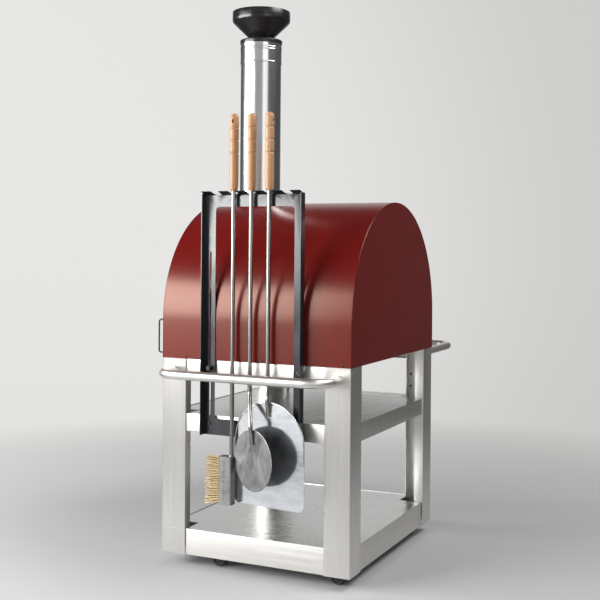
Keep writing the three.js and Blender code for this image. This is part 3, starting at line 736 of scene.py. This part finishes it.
for part in ("lower_shelf", "mid_shelf", "side_shelf_plate"):
    finish_part(part, shelf_steel)
for part in ("caster_channel_right", "caster_channel_left"):
    finish_part(part, beam_steel_y)
finish_part("flue_liner", bright_steel)
for part, material in (("refractory_dome", refractory), ("hearth_slab", hearth_stone),
                       ("hearth_board", ceramic_fibre), ("insulation_blanket", ceramic_fibre)):
    finish_part(part, material)

# %% [markdown]
# ## Rail and side shelf
# Both are one length of tube, bent to a U and welded to the legs. A path with two round bends carries a
# circle, and each end gets the ring of a weld: a small bulge where the tube meets the leg.

# %% Bent tubes
weld_radius = 20.0


def bent_tube(part, bend):
    """A horizontal U from the legs, as far out as the measured part reaches."""
    low, high = span(part)
    side = np.sign(low[0] + high[0])
    leg_face = np.sort(np.abs([low[0], high[0]]))[0]
    reach = np.sort(np.abs([low[0], high[0]]))[1]
    height = (low[2] + high[2]) / 2
    radius = 17.0
    far, half = reach - radius, high[1] - weld_radius
    corners = np.array([[leg_face, -half], [far, -half], [far, half], [leg_face, half]])
    plan = rounded(corners, bend, 14, closed=False)
    straight = np.linspace(0, 1, 7)[1:-1, None]
    plan = np.concatenate([plan[:1], plan[:1] + (plan[1] - plan[0]) * straight, plan[1:16],
                           plan[15] + (plan[16] - plan[15]) * straight, plan[16:31],
                           plan[30] + (plan[31] - plan[30]) * straight, plan[31:]])
    path = np.insert(plan * [side, 1], 2, height, axis=1)
    surfaces = [shell_of(carried(path, circle(radius, 40), (0, 0, 1.0)))]
    for y in (-half, half):
        bead = [(-1, 0), (2.6, 0), (2.9, 1.4), (2.1, 3.4), (0.6, 4.8), (-1, 5)]
        ring = [(radius + r, side * (leg_face + h)) for r, h in bead]
        surfaces.append(turned(ring, (0, y, height), axis=0, sides=40, loop=True))
    piece = into_mesh(part + "_bent", joined(*surfaces), body_of(part), tube_steel, [part])
    print(part, "stands off by", round(reach - leg_face), "mm")
    return piece


bent_tube("side_rail", 80)
bent_tube("side_shelf_hoop", 80)

# %% [markdown]
# ## The vault
# The vault is one wide sheet rolled over: straight at the bottom of both sides, then half a circle.
# Its two ends are flat plates of the same outline. `arch` gives that outline for any inset, with the
# same number of points each time, so two outlines can be joined by faces point for point. That is how
# the plates get their softly broken edge and how the front plate gets its mouth. The sheet itself is
# open below, so it leaves out the last points of the outline, the ones along the foot.

# %% Arches
vault_low, vault_high = span("vault_shell")
vault_radius = vault_high[0]
springline = vault_high[2] - vault_radius
mouth_low, mouth_high = span("mouth_frame")
mouth_rim = 20.0
mouth_half = mouth_high[0] - mouth_rim
mouth_floor = span("hearth_slab")[1][2] + 0.3


def arch(half, bottom, spring, rise, inset=0.0, steps=72):
    """Up one wall, over half an ellipse, down the other wall and back along the foot."""
    t = np.linspace(0, np.pi, steps + 1)
    top = np.stack([(half - inset) * np.cos(t), spring + (rise - inset) * np.sin(t)], -1)
    wall = np.linspace(bottom + inset, spring, 7)[:-1]
    right = np.stack([np.full(6, half - inset), wall], -1)
    foot_x = np.linspace(-(half - inset), half - inset, 14)[1:-1]
    foot = np.stack([foot_x, np.full(12, bottom + inset)], -1)
    return np.concatenate([right, top, right[::-1] * [-1, 1], foot])


def along_y(outlines, places):
    """Outlines in (x, z), one for each place along Y, as rows of a grid."""
    return np.stack([np.insert(outline, 1, y, axis=1) for outline, y in zip(outlines, places)])


def edge_steps(start, stop, soft, steps=4):
    """Places and insets of a rounded edge: a quarter circle at each end of the thickness."""
    t = np.linspace(0, np.pi / 2, steps)
    insets = soft * (1 - np.sin(t))
    first, last = start + soft * (1 - np.cos(t)), stop - soft * (1 - np.cos(t))
    return np.concatenate([first, last[::-1]]), np.concatenate([insets, insets[::-1]])


# %% Vault shell and rear plate
low, high = vault_low, vault_high
skin, edge, arch_steps = 2.0, 0.7, 128
without_foot = arch_steps + 1 + 2 * 6  # points over the top, and six up each wall


def vault_outline(inset, foot=0.0):
    return arch(vault_radius, vault_low[2] - foot, springline, vault_radius, inset, arch_steps)


outlines = [vault_outline(inset) for inset in (edge, 0, 0, edge)] + [vault_outline(skin, foot=skin)] * 2
places = [low[1], low[1] + edge, high[1] - edge, high[1], high[1], low[1]]
sheet = along_y(outlines, places)[:, :without_foot]
index = np.arange(len(places))[:, None] * without_foot + np.arange(without_foot)[None, :]
across = np.roll(index, -1, 0)
sides = np.stack([index[:, :-1], index[:, 1:], across[:, 1:], across[:, :-1]], -1).reshape(-1, 4)
lids = [index[:, 0].tolist(), index[:, -1].tolist()[::-1]]
into_mesh("vault_shell_rolled", (sheet.reshape(-1, 3), sides.tolist() + lids), "oven_cart", red_coat,
          ["vault_shell"])

low, high = span("rear_panel")
places, insets = edge_steps(low[1], high[1], 0.9)
plate = along_y([arch(vault_radius, low[2], springline, vault_radius, inset, arch_steps)
                 for inset in insets], places)
into_mesh("rear_panel_cut", shell_of(plate), "oven_cart", red_coat, ["rear_panel"])
print("vault radius in mm:", round(vault_radius), "springline:", round(springline))

# %% [markdown]
# The front plate is a ring: from its outer edge, across its face, into the mouth, and back behind. A ring
# has no ends, so its rows close on themselves instead of getting lids. The stainless mouth frame is
# the same ring with more depth.


# %% Front plate and mouth frame
def ring_plate(outer, inner, front, back, soft):
    """Rows: outer edge, front face, mouth, back face. Each outline is drawn in near its edges."""
    t = np.linspace(0, np.pi / 2, 4)
    near = [(outer, soft * (1 - np.sin(a)), front + soft * (1 - np.cos(a))) for a in t]
    hole = [(inner, -soft * (1 - np.sin(a)), front + soft * (1 - np.cos(a))) for a in t]
    outlines = [make(inset) for make, inset, _ in near[::-1]] + [make(inset) for make, inset, _ in hole]
    places = [y for *_, y in near[::-1]] + [y for *_, y in hole]
    outlines += [inner(0), outer(0)]
    places += [back, back]
    return shell_of(along_y(outlines, places), loop=True)


def vault_edge(inset):
    return arch(vault_radius, vault_low[2], springline, vault_radius, inset)


mouth_wall = 100
mouth_rise = mouth_high[2] - mouth_rim - mouth_floor - mouth_wall
mouth_spring = mouth_floor + mouth_wall


def mouth_edge(inset):
    return arch(mouth_half, mouth_floor, mouth_spring, mouth_rise, inset)


def frame_edge(inset):
    return arch(mouth_half + mouth_rim, mouth_low[2], mouth_spring, mouth_rise + mouth_rim, inset)


low, high = span("front_panel")
into_mesh("front_panel_cut", ring_plate(vault_edge, mouth_edge, low[1], high[1], 0.8), "oven_cart",
          red_coat, ["front_panel"])
into_mesh("mouth_frame_formed", ring_plate(frame_edge, mouth_edge, mouth_low[1], mouth_high[1], 2.5),
          "oven_cart", shelf_steel, ["mouth_frame"])
mouth_height = mouth_high[2] - mouth_rim - mouth_floor
print("mouth in mm:", round(2 * mouth_half), "wide,", round(mouth_height), "high")

# %% [markdown]
# ## The door
# The door closes the mouth from outside. It is pressed steel: a rounded rim, then a step down to a slightly
# sunken field. The field is made by drawing the same arch further and further in while its depth
# changes. Two round-wire handles, bent like a D, stand at its sides.

# %% Door
door_low, door_high = span("door_panel")
door_half = door_high[0]
door_rise = 150.0
door_spring = door_high[2] - door_rise


def door_edge(inset):
    return arch(door_half, door_low[2], door_spring, door_rise, inset)


depth = [(0, 20), (0, 4.0), (0.7, 1.8), (2.2, 0.4), (4.0, 0), (24, 0), (26, 0.6), (29, 2.4),
         (31, 3.0), (60, 3.0)]  # (how far in from the edge, how far back from the front)
outlines = [door_edge(inset) for inset, _ in depth]
places = [door_low[1] + min(sunk, door_high[1] - door_low[1]) for _, sunk in depth]
into_mesh("door_panel_pressed", shell_of(along_y(outlines, places)), "door", beam_steel_x,
          ["door_panel"])

for side in ("right", "left"):
    part = "door_handle_" + side
    low, high = span(part)
    wire = (high[0] - low[0]) / 2
    x = (low[0] + high[0]) / 2
    ends = [[x, high[1], high[2] - wire], [x, low[1] + wire, high[2] - wire],
            [x, low[1] + wire, low[2] + wire], [x, high[1], low[2] + wire]]
    path = rounded(ends, 9, 10, closed=False)
    loop = shell_of(carried(path, circle(wire, 20), (1.0, 0, 0)))
    feet = [turned([(wire, high[1] - 3), (wire + 3.5, high[1] - 2.4), (wire + 4, high[1]), (wire, high[1])],
                   (x, 0, z), axis=1, sides=32, loop=True) for z in (high[2] - wire, low[2] + wire)]
    into_mesh(part + "_wire", joined(loop, *feet), "door", handle_black, [part])
print("door in mm:", (door_high - door_low).round())

# %% [markdown]
# ## The chimney
# The pipe is a plain rolled tube whose foot is cut to the curve of the vault: for each point round
# the pipe, the vault's height there is springline + sqrt(radius squared - x squared). A flashing hides
# the joint. At the top a polished sleeve with two rolled beads holds a black ring, and the cowl above
# it is spun from sheet: a funnel, a rounded shoulder and a straight band with a rolled rim.

# %% Pipe and flashing
pipe_low, pipe_high = span("chimney_pipe")
stack = (pipe_low + pipe_high) / 2
stack[2] = 0
pipe_radius = (pipe_high[0] - pipe_low[0]) / 2


def on_vault(rings, clearance):
    """Rings of (radius, height or None); None puts the ring on the vault, lifted by clearance."""
    t = np.linspace(0, 2 * np.pi, 96, endpoint=False)
    rows = []
    for radius, height in rings:
        x = radius * np.cos(t)
        seat = springline + np.sqrt((vault_radius + clearance) ** 2 - x**2)
        z = seat if height is None else np.full_like(t, height)
        rows.append(np.stack([x, radius * np.sin(t) + stack[1], z], -1))
    return shell_of(np.stack(rows), loop=True)


inner, mouth_of_pipe = pipe_radius - 1.5, pipe_high[2]
pipe = on_vault([(pipe_radius, None), (pipe_radius, mouth_of_pipe), (inner, mouth_of_pipe),
                 (inner, None)], 0.3)
into_mesh("chimney_pipe_rolled", pipe, "oven_cart", pipe_steel, ["chimney_pipe"])
low, high = span("flue_flashing")
wide, top = (high[0] - low[0]) / 2, high[2]
skirt = on_vault([(pipe_radius + 0.4, None), (wide, None), (wide, top - 7), (wide - 0.8, top - 4.5),
                  (wide - 3, top - 2.5), (wide - 6, top - 1.8), (pipe_radius + 2, top),
                  (pipe_radius + 0.4, top)], 0.3)
into_mesh("flue_flashing_formed", skirt, "oven_cart", red_coat, ["flue_flashing"])

# %% Collar, cap and cowl
low, high = span("chimney_collar")
outer, inside = (high[0] - low[0]) / 2, pipe_radius + 0.3


def bead(z, r):
    """Half a round bead on the sleeve, centred at height z."""
    return [(outer - 1.6, z - r), (outer - 0.5, z - 0.75 * r), (outer, z), (outer - 0.5, z + 0.75 * r),
            (outer - 1.6, z + r)]


sleeve = [(inside, low[2]), (outer - 1.6, low[2]), *bead(low[2] + 3.2, 2.6), *bead(high[2] - 27, 2.4),
          *bead(high[2] - 17, 2.4), (outer - 1.6, high[2] - 3), (outer - 0.8, high[2]), (inside, high[2])]
into_mesh("chimney_collar_rolled", turned(sleeve, stack, sides=96, loop=True), "oven_cart", bright_steel,
          ["chimney_collar"])

cone_width, cone_height = 75, 76  # how far the cowl's cone widens from its neck, and over what height
low, high = span("chimney_cap")
neck = (span("chimney_cowl")[1][0] - span("chimney_cowl")[0][0]) / 2 - cone_width
lid = rounded([(neck, low[2]), (outer, low[2]), (outer, high[2] - 2), (outer - 4, high[2]),
               (neck, high[2])], [0.3, 1.2, 2.5, 2.5, 0.3], 4)
into_mesh("chimney_cap_ring", turned(lid, stack, sides=96, loop=True), "oven_cart", cowl_black,
          ["chimney_cap"])

low, high = span("chimney_cowl")
rim, base, top = (high[0] - low[0]) / 2, low[2], high[2]
shoulder = base + cone_height
outside = [(neck, base), (neck, base + 2), (neck + 2.2, base + 6), (rim - 4.5, shoulder - 4.5),
           (rim - 1.6, shoulder), (rim, shoulder + 5), (rim, shoulder + 14), (rim - 1.6, shoulder + 15.4),
           (rim - 1.6, shoulder + 17.6), (rim, shoulder + 19), (rim, top - 4), (rim - 0.9, top - 1.2),
           (rim - 3, top)]
inward = [(rim - 5, top - 1.5), (rim - 5, top - 5), (rim - 3, top - 8), (rim - 3, shoulder + 5),
          (rim - 7, shoulder - 2), (neck + 0.8, base + 8), (neck - 1.6, base + 2), (neck - 1.6, base)]
into_mesh("chimney_cowl_spun", turned(outside + inward, stack, sides=96, loop=True), "oven_cart",
          cowl_black, ["chimney_cowl"])
print("chimney top in mm above the legs' feet:", round(top))

# %% [markdown]
# ## The tool rack
# The rack is laser-cut sheet with folded sides, two long slots, and a row of bent tabs between which the
# rods hang. The measured part has every cut already, so a merged copy with a small bevel is enough.
# Fluted knobs clamp it through its slots. A fluted edge is a circle whose radius is multiplied by a
# wave, 1 + 0.05 cos 8t.

# %% Rack, knobs and bolts
softened("tool_rack", rack_black, 0.7)
plate_back = span("tool_rack")[0][0]
plate_front = plate_back + 2.5
flute = 0.05
bolt_drop = 198  # the lower bolt sits this far below its knob


def fluted(t):
    """The knob's radius, as a multiple, at angle t."""
    return 1 + flute * np.cos(8 * t)


for part in ("rack_knob_front", "rack_knob_rear"):
    low, high = span(part)
    y, z = (low[1] + high[1]) / 2, (low[2] + high[2]) / 2
    r, tip, face = (high[1] - low[1]) / 2 / (1 + flute), high[0], plate_front
    head = [(2.8, face + 0.4), (r + 0.3, face + 0.4), (r + 0.3, face + 1.8), (r - 3.4, face + 2.1),
            (r - 3.4, face + 5), (r - 0.8, face + 6), (r, face + 7.5), (r, tip - 4), (r - 0.7, tip - 1.5),
            (r - 2.5, tip - 0.3), (r - 5, tip), (1.2, tip - 1.2)]
    spacer = [(7, low[0]), (7, plate_back - 0.3), (2.8, plate_back - 0.3), (2.8, face + 0.4)]
    surfaces = [turned(head, (0, y, z), axis=0, sides=64, wave=fluted),
                turned(spacer, (0, y, z), axis=0, sides=32)]
    into_mesh(part + "_fluted", joined(*surfaces), body_of(part), knob_black, [part])
    bolt = [(7, face + 0.4), (7, face + 1.4), (5.6, face + 1.6), (5.4, face + 4.2), (4.2, face + 5.4),
            (2.2, face + 5.6), (2.0, face + 3.6)]
    into_mesh(part.replace("knob", "bolt"), turned(bolt, (0, y, low[2] - bolt_drop), axis=0, sides=32),
              "oven_cart", screw_dark)
print("rack is", (span("tool_rack")[1] - span("tool_rack")[0]).round(), "mm")

# %% [markdown]
# ## Wooden grips
# Each tool hangs by a grip turned from beech: a plain barrel, three V-grooves near the top for the
# fingers, and a domed end with a hole for a cord. The lathe gives everything but the hole. The hole is
# pressed into the finished surface: points inside a small oval on the two opposite sides move
# towards the axis, by a smooth amount that is greatest in the middle.

# %% Grips
grip_low, grip_high = span("brush_grip")
grip_radius = (grip_high[0] - grip_low[0]) / 2


def grip_profile():
    """(radius, height): foot, barrel, three grooves and a dome."""
    z0, z1, r = grip_low[2], grip_high[2], grip_radius
    rows = [(8.6, z0 + 6), (8.6, z0 + 0.8), (r - 6.5, z0), (r - 3.5, z0 + 1.5), (r - 2.2, z0 + 6),
            (r - 0.9, z0 + 18), (r, z0 + 45), (r, z0 + 100)]
    for z in (z1 - 148, z1 - 101, z1 - 54):
        rows += [(r, z - 7), (r - 0.5, z - 4), (r - 2.4, z - 0.8), (r - 2.6, z), (r - 2.4, z + 0.8),
                 (r - 0.5, z + 4), (r, z + 7), (r, z + 20)]
    rows += [(r - 0.1, z1 - 24)]
    t = np.linspace(0, np.pi / 2, 14)[:-1]
    rows += [((r - 0.3) * np.cos(a) ** 0.75, z1 - 19 + 19 * np.sin(a)) for a in t]
    rows += [(1.0, z1)]
    rows = np.array(rows)
    finer = np.linspace(0, len(rows) - 1, 4 * len(rows) - 3)
    return np.stack([np.interp(finer, np.arange(len(rows)), rows[:, k]) for k in (0, 1)], -1)


def turn_between(angle, other):
    """The smallest turn from one angle to the other, always positive."""
    return abs(np.angle(np.exp(1j * (angle - other))))


def grip(part, hole_turn):
    """A turned grip whose points near the hole's two mouths are squeezed towards the axis."""
    low, high = span(part)
    axis = (low + high) / 2
    points, faces = turned(grip_profile(), (0, 0, 0), sides=72)
    angle, z = np.arctan2(points[:, 1], points[:, 0]), points[:, 2]
    r = np.hypot(points[:, 0], points[:, 1])
    off_side = np.minimum(turn_between(angle, hole_turn), turn_between(angle, hole_turn + np.pi))
    oval = np.hypot(off_side * grip_radius / 4.0, (z - (grip_high[2] - 30)) / 6.5)
    press = np.clip(1 - oval**4, 0, 1) ** 0.5
    squeeze = 1 - 0.72 * press * (r > 3)
    points = points * np.stack([squeeze, squeeze, np.ones_like(z)], -1) + [axis[0], axis[1], 0]
    return into_mesh(part + "_turned", (points, faces), body_of(part), beech, [part])


grip("brush_grip", np.radians(8))
grip("turning_peel_grip", np.radians(98))
grip("pizza_peel_grip", np.radians(80))
print("grip in mm:", round(2 * grip_radius), "across,", round(grip_high[2] - grip_low[2]), "long")

# %% [markdown]
# ## Rods
# The brush hangs on a straight rod. The two peels' rods bend out, away from the rack, and then run flat
# against the blade's bracket. The bends' corners are where the measured part has them: it starts at
# the grip's axis and ends at the blade. Below the last bend the rod is pressed flat, so its section
# goes smoothly from a circle to a rounded bar. Heights of the two bends, the end and the press are
# given in millimetres above the floor.

# %% Rods
rod_radius = 8.0
rod_top = span("brush_rod")[1][2]
disc_low, disc_high = span("turning_peel_disc")
blade_low, blade_high = span("pizza_peel_blade")
disc_turn, blade_turn = np.radians(-25), np.radians(-8)
disc_radius = (disc_high[2] - disc_low[2]) / 2


def facing(turn):
    return np.array([np.cos(turn), np.sin(turn), 0.0])


def rod_path(corners, bend):
    """Round bends, then extra points along every straight run so the section can change slowly."""
    path = rounded(corners, bend, 10, closed=False)
    length = np.concatenate([[0], np.cumsum(np.linalg.norm(np.diff(path, axis=0), axis=1))])
    finer = np.unique(np.concatenate([length, np.linspace(0, length[-1], 60)]))
    return np.stack([np.interp(finer, length, path[:, k]) for k in range(3)], -1)


def rod(part, corners, bend=30.0, flat_below=None, across=(0.0, 1.0, 0.0)):
    """A rod along its corners; below flat_below = (height, half thickness, outwards) it is pressed."""
    if len(corners) > 2:
        path = rod_path(np.array(corners, float), bend)
    else:
        path = np.linspace(*map(np.array, corners), 6)
    points = carried(path, circle(rod_radius, 32), across)
    if flat_below is not None:
        start, depth, out = flat_below
        press = np.clip((start - path[:, 2]) / 34, 0, 1)[:, None, None]
        press = press * press * (3 - 2 * press)
        normal = out / np.linalg.norm(out)
        off = ((points - path[:, None]) @ normal)[..., None]
        points = points - press * off * (1 - depth / rod_radius) * normal
        points = points - press * (rod_radius - depth) * normal
    return into_mesh(part + "_drawn", shell_of(points), body_of(part), rod_steel, [part])


low, high = span("brush_rod")
middle = (low + high) / 2
rod("brush_rod", [[middle[0], middle[1], high[2]], [middle[0], middle[1], low[2]]])

hang_x = middle[0]
turning_y = (span("turning_peel_grip")[0][1] + span("turning_peel_grip")[1][1]) / 2
pizza_y = (span("pizza_peel_grip")[0][1] + span("pizza_peel_grip")[1][1]) / 2
disc_centre = np.array([534.0, 40.0, disc_low[2] + disc_radius])
blade_centre = np.array([488.0, pizza_y + 10, 0.0])


def bent_rod(part, y, centre, turn, stand_off, bend_out, bend_back, end, pressed_below, half_thick):
    """Down from the grip, out to the blade's bracket, and straight down again along the blade."""
    seat = centre + stand_off * facing(turn)
    corners = [[hang_x, y, rod_top], [hang_x, y, bend_out],
               [seat[0], seat[1], bend_back], [seat[0], seat[1], end]]
    return rod(part, corners, flat_below=(pressed_below, half_thick, facing(turn)))


bent_rod("turning_peel_rod", turning_y, disc_centre, disc_turn, stand_off=11, bend_out=638,
         bend_back=532, end=464, pressed_below=518, half_thick=3.2)
bent_rod("pizza_peel_rod", pizza_y, blade_centre, blade_turn, stand_off=12.6, bend_out=668,
         bend_back=628, end=560, pressed_below=612, half_thick=3.4)

# %% [markdown]
# ## The two peels
# Each blade is drawn flat, facing X, and then stood in its place: turned about Z and moved. The turning
# peel's disc is a very flat turned shape with a rounded edge. The pizza peel's blade is an outline
# whose arch carries a rolled wire rim. Rivets fix the brackets; a rivet's head is a shallow dome.

# %% Peels


def stood(surface, turn, centre):
    """Turn about Z and move: (x, y) -> (x cos t - y sin t, x sin t + y cos t) + centre."""
    points, faces = surface
    spin = np.array([[np.cos(turn), np.sin(turn), 0], [-np.sin(turn), np.cos(turn), 0], [0, 0, 1]])
    return points @ spin + centre, faces


def rivet(x, y, z, r=3.2):
    dome = [(r, x - 0.2), (r, x + 0.3), (0.9 * r, x + 0.9), (0.6 * r, x + 1.5), (0.3 * r, x + 1.8),
            (0.05 * r, x + 1.9)]
    return turned(dome, (0, y, z), axis=0, sides=20)


def rounded_bar(half, bottom, top, back, front, corner=4.0):
    outline = rounded([[-half, bottom], [half, bottom], [half, top], [-half, top]], corner, 6)
    return prism(outline, 0, back, front, 0.5)


disc_section = [(1.0, -1), (60, -1), (108, -1), (disc_radius - 1, -1), (disc_radius - 0.3, -0.7),
                (disc_radius, 0), (disc_radius - 0.3, 0.7), (disc_radius - 1, 1), (108, 1), (60, 1),
                (1.0, 1)]
disc = turned(disc_section, (0, 0, 0), axis=0, sides=128)
tongue = rounded_bar(11, 57, 108, 0.8, 2.3)
rivets = [rivet(2.2, y, z) for y, z in ((-5.5, 97), (5.5, 97), (0, 65))]
parts = [stood(shape, disc_turn, disc_centre) for shape in (disc, tongue, *rivets)]
into_mesh("turning_peel_disc_scuffed", joined(*parts), "turning_peel", turning_peel_steel,
          ["turning_peel_disc"])

half, bottom, top = 155.0, blade_low[2], blade_high[2]
spring, corner = top - half, 26.0
t = np.linspace(0, np.pi, 97)
arc = np.stack([half * np.cos(t), spring + half * np.sin(t)], -1)
c = np.linspace(np.pi, 1.5 * np.pi, 9)
left = np.stack([-half + corner + corner * np.cos(c), bottom + corner + corner * np.sin(c)], -1)
blade_outline = np.concatenate([arc, left, (left * [-1, 1])[::-1]])
blade = prism(blade_outline, 0, -1.0, 1.0, 0.4)
down = np.linspace(spring - 58, spring, 10)[:-1]
rim_half = half - 2.2
rim_arc = np.stack([rim_half * np.cos(t), spring + rim_half * np.sin(t)], -1)
rim_line = np.concatenate([np.stack([np.full(9, rim_half), down], -1), rim_arc,
                           np.stack([np.full(9, -rim_half), down[::-1]], -1)])
rim = shell_of(carried(np.insert(rim_line, 0, 1.7, axis=1), circle(2.1, 14), (1.0, 0, 0)))
tongue = rounded_bar(11, 556, 603, 0.8, 3.4)
rivets = [rivet(3.2, y, 570, 2.6) for y in (-6.5, 6.5)]
parts = [stood(shape, blade_turn, blade_centre) for shape in (blade, rim, tongue, *rivets)]
into_mesh("pizza_peel_blade_polished", joined(*parts), "pizza_peel", peel_blade_steel,
          ["pizza_peel_blade"])
print("blade in mm:", round(2 * half), "by", round(top - bottom))

# %% [markdown]
# ## The brush
# A steel sleeve holds rows of stiff strands. One strand is a thin tube with six sides that starts
# straight, tapers, and droops at its end: its middle line is root + length * s out, and minus
# droop * s squared down. All strands are made at once by repeating that grid, each with its own
# length, spread and droop from a seeded random generator, so every run gives the same brush.

# %% Brush
low, high = span("brush_block")
middle = (low + high) / 2
sleeve_corners = np.array([[low[0], low[1]], [high[0], low[1]], [high[0], high[1]], [low[0], high[1]]])
sleeve_outline = rounded(sleeve_corners, 7, 6)
sleeve = prism(sleeve_outline, 2, low[2], high[2] - 1.5, 0.8)
socket_section = [(rod_radius + 0.6, high[2] - 2), (rod_radius + 3, high[2] - 2),
                  (rod_radius + 2.4, high[2]), (rod_radius + 0.6, high[2])]
rod_low = span("brush_rod")[0]
socket = turned(socket_section, (rod_low[0] + rod_radius, rod_low[1] + rod_radius, 0), sides=32, loop=True)
seam = rounded_bar(1.2, low[2] + 3, high[2] - 5, high[0] - 0.4, high[0] + 0.5, 1.0)
seam = (seam[0] + [0, middle[1] - 4, 0], seam[1])
head_heights = np.linspace(low[2] + 18, high[2] - 18, 5)
heads = [rivet(high[0] - 0.3, middle[1] + side * 12, z, 2.6) for side in (-1, 1) for z in head_heights]
into_mesh("brush_sleeve", joined(sleeve, socket, seam, *heads), "brush", turning_peel_steel,
          ["brush_block"])

low, high = span("brush_bristles")
columns, rows = 5, 27
column, row = np.meshgrid(np.linspace(-1, 1, columns), np.linspace(0, 1, rows))
column, row = column.ravel(), row.ravel()
count = column.size
root_half = (high[0] - low[0]) / 2 - 4
root_y = high[1]
root_z = low[2] + 24 + row * (high[2] - low[2] - 36) + rng.normal(0, 0.5, count)
length = (root_y - low[1]) * rng.uniform(0.84, 0.985, count)
lean = (row - 0.45) * 13 + rng.normal(0, 1.6, count)
droop = rng.uniform(1.5, 6.0, count)
s = np.linspace(0, 1, 5)[None, :, None]
ring_turn = np.linspace(0, 2 * np.pi, 6, endpoint=False)[None, None]
thick = (2.3 - 0.9 * s) * np.ones_like(ring_turn)
spread = column * 1.5 + rng.normal(0, 0.8, count)
centre_x = (middle[0] + column * root_half)[:, None, None] + spread[:, None, None] * s
centre_y = root_y - length[:, None, None] * s
centre_z = root_z[:, None, None] + lean[:, None, None] * s - droop[:, None, None] * s**2
strands = np.stack([centre_x + thick * np.cos(ring_turn), centre_y + 0 * thick,
                    centre_z + thick * np.sin(ring_turn)], -1)
strands[..., 2] = np.clip(strands[..., 2], low[2], high[2])
one_faces = np.array(grid_faces(5, 6))
all_faces = (one_faces[None] + 30 * np.arange(count)[:, None, None]).reshape(-1, 4).tolist()
tips = (np.arange(24, 30)[None] + 30 * np.arange(count)[:, None]).tolist()
roots = (np.arange(0, 6)[::-1][None] + 30 * np.arange(count)[:, None]).tolist()
into_mesh("brush_strands", (strands.reshape(-1, 3), all_faces + tips + roots), "brush",
          bristle_brass, ["brush_bristles"])
print("strands in the brush:", count)

# %% [markdown]
# ## Casters
# Small twin-sided wheels under the cart. The tyre's section is a rounded rectangle with a dished hub, and
# the fork is a bevelled copy of the measured one.

# %% Casters
for part in [name for name in frame["nodes"] if name.startswith("caster_wheel")]:
    low, high = span(part)
    centre = (low + high) / 2
    r, w = (high[2] - low[2]) / 2, (high[0] - low[0]) / 2
    half_section = [(4.3, -w + 1), (9, -w + 1), (10, -w + 3), (r - 9, -w + 3.4), (r - 8, -w + 0.8),
                    (r - 5, -w), (r - 1.6, -w + 2), (r - 0.3, -w + 5), (r, 0)]
    section = half_section + [(radius, -x) for radius, x in half_section[-2::-1]]
    section = [(radius, centre[0] + x) for radius, x in section]
    tyre = turned(section, (0, centre[1], centre[2]), axis=0, sides=64, loop=True)
    into_mesh(part + "_moulded", tyre, body_of(part), tyre_black, [part])
for part in [name for name in frame["nodes"] if name.startswith("caster_fork")]:
    softened(part, rack_black, 0.5)

# %% [markdown]
# ## Screws
# Dark round-headed screws hold the vault and its end plates to the tray, three to a side and two on
# the front, a centimetre above the lower edge. Each is a low dome with a small round dip for a socket.
# Two more sit on the rear left leg. They are one object per face, all made by the same function.


# %% Screws
def screw(place, axis, side, r=5.2):
    """A dome on the surface at place, facing along the axis; the socket is a small dip."""
    head = [(r, 0), (r, 0.9), (0.86 * r, 2.0), (0.55 * r, 2.9), (0.42 * r, 3.0), (0.38 * r, 1.6),
            (0.1 * r, 1.5)]
    centre = np.array(place, float)
    head = [(radius, centre[axis] + side * height) for radius, height in head]
    centre[axis] = 0
    return turned(head, centre, axis=axis, sides=24)


screw_height = vault_low[2] + 9
end_face = span("rear_panel")[1][1]
for name, axis, side, places in (
    ("screws_right", 0, 1, [(vault_radius, y, screw_height) for y in (-290, 35, 360)]),
    ("screws_left", 0, -1, [(-vault_radius, y, screw_height) for y in (-290, 35, 360)]),
    ("screws_rear", 1, 1, [(x, end_face, screw_height) for x in (-345, 0, 345)]),
    ("screws_front", 1, -1, [(x, -end_face, screw_height) for x in (-400, 400)]),
    ("screws_leg", 0, 1, [(span("leg_rear_left")[0][0] + 3, 300, z) for z in (577, 629)]),
):
    screws = joined(*[screw(place, axis, side) for place in places])
    into_mesh(name, screws, "oven_cart", screw_dark)
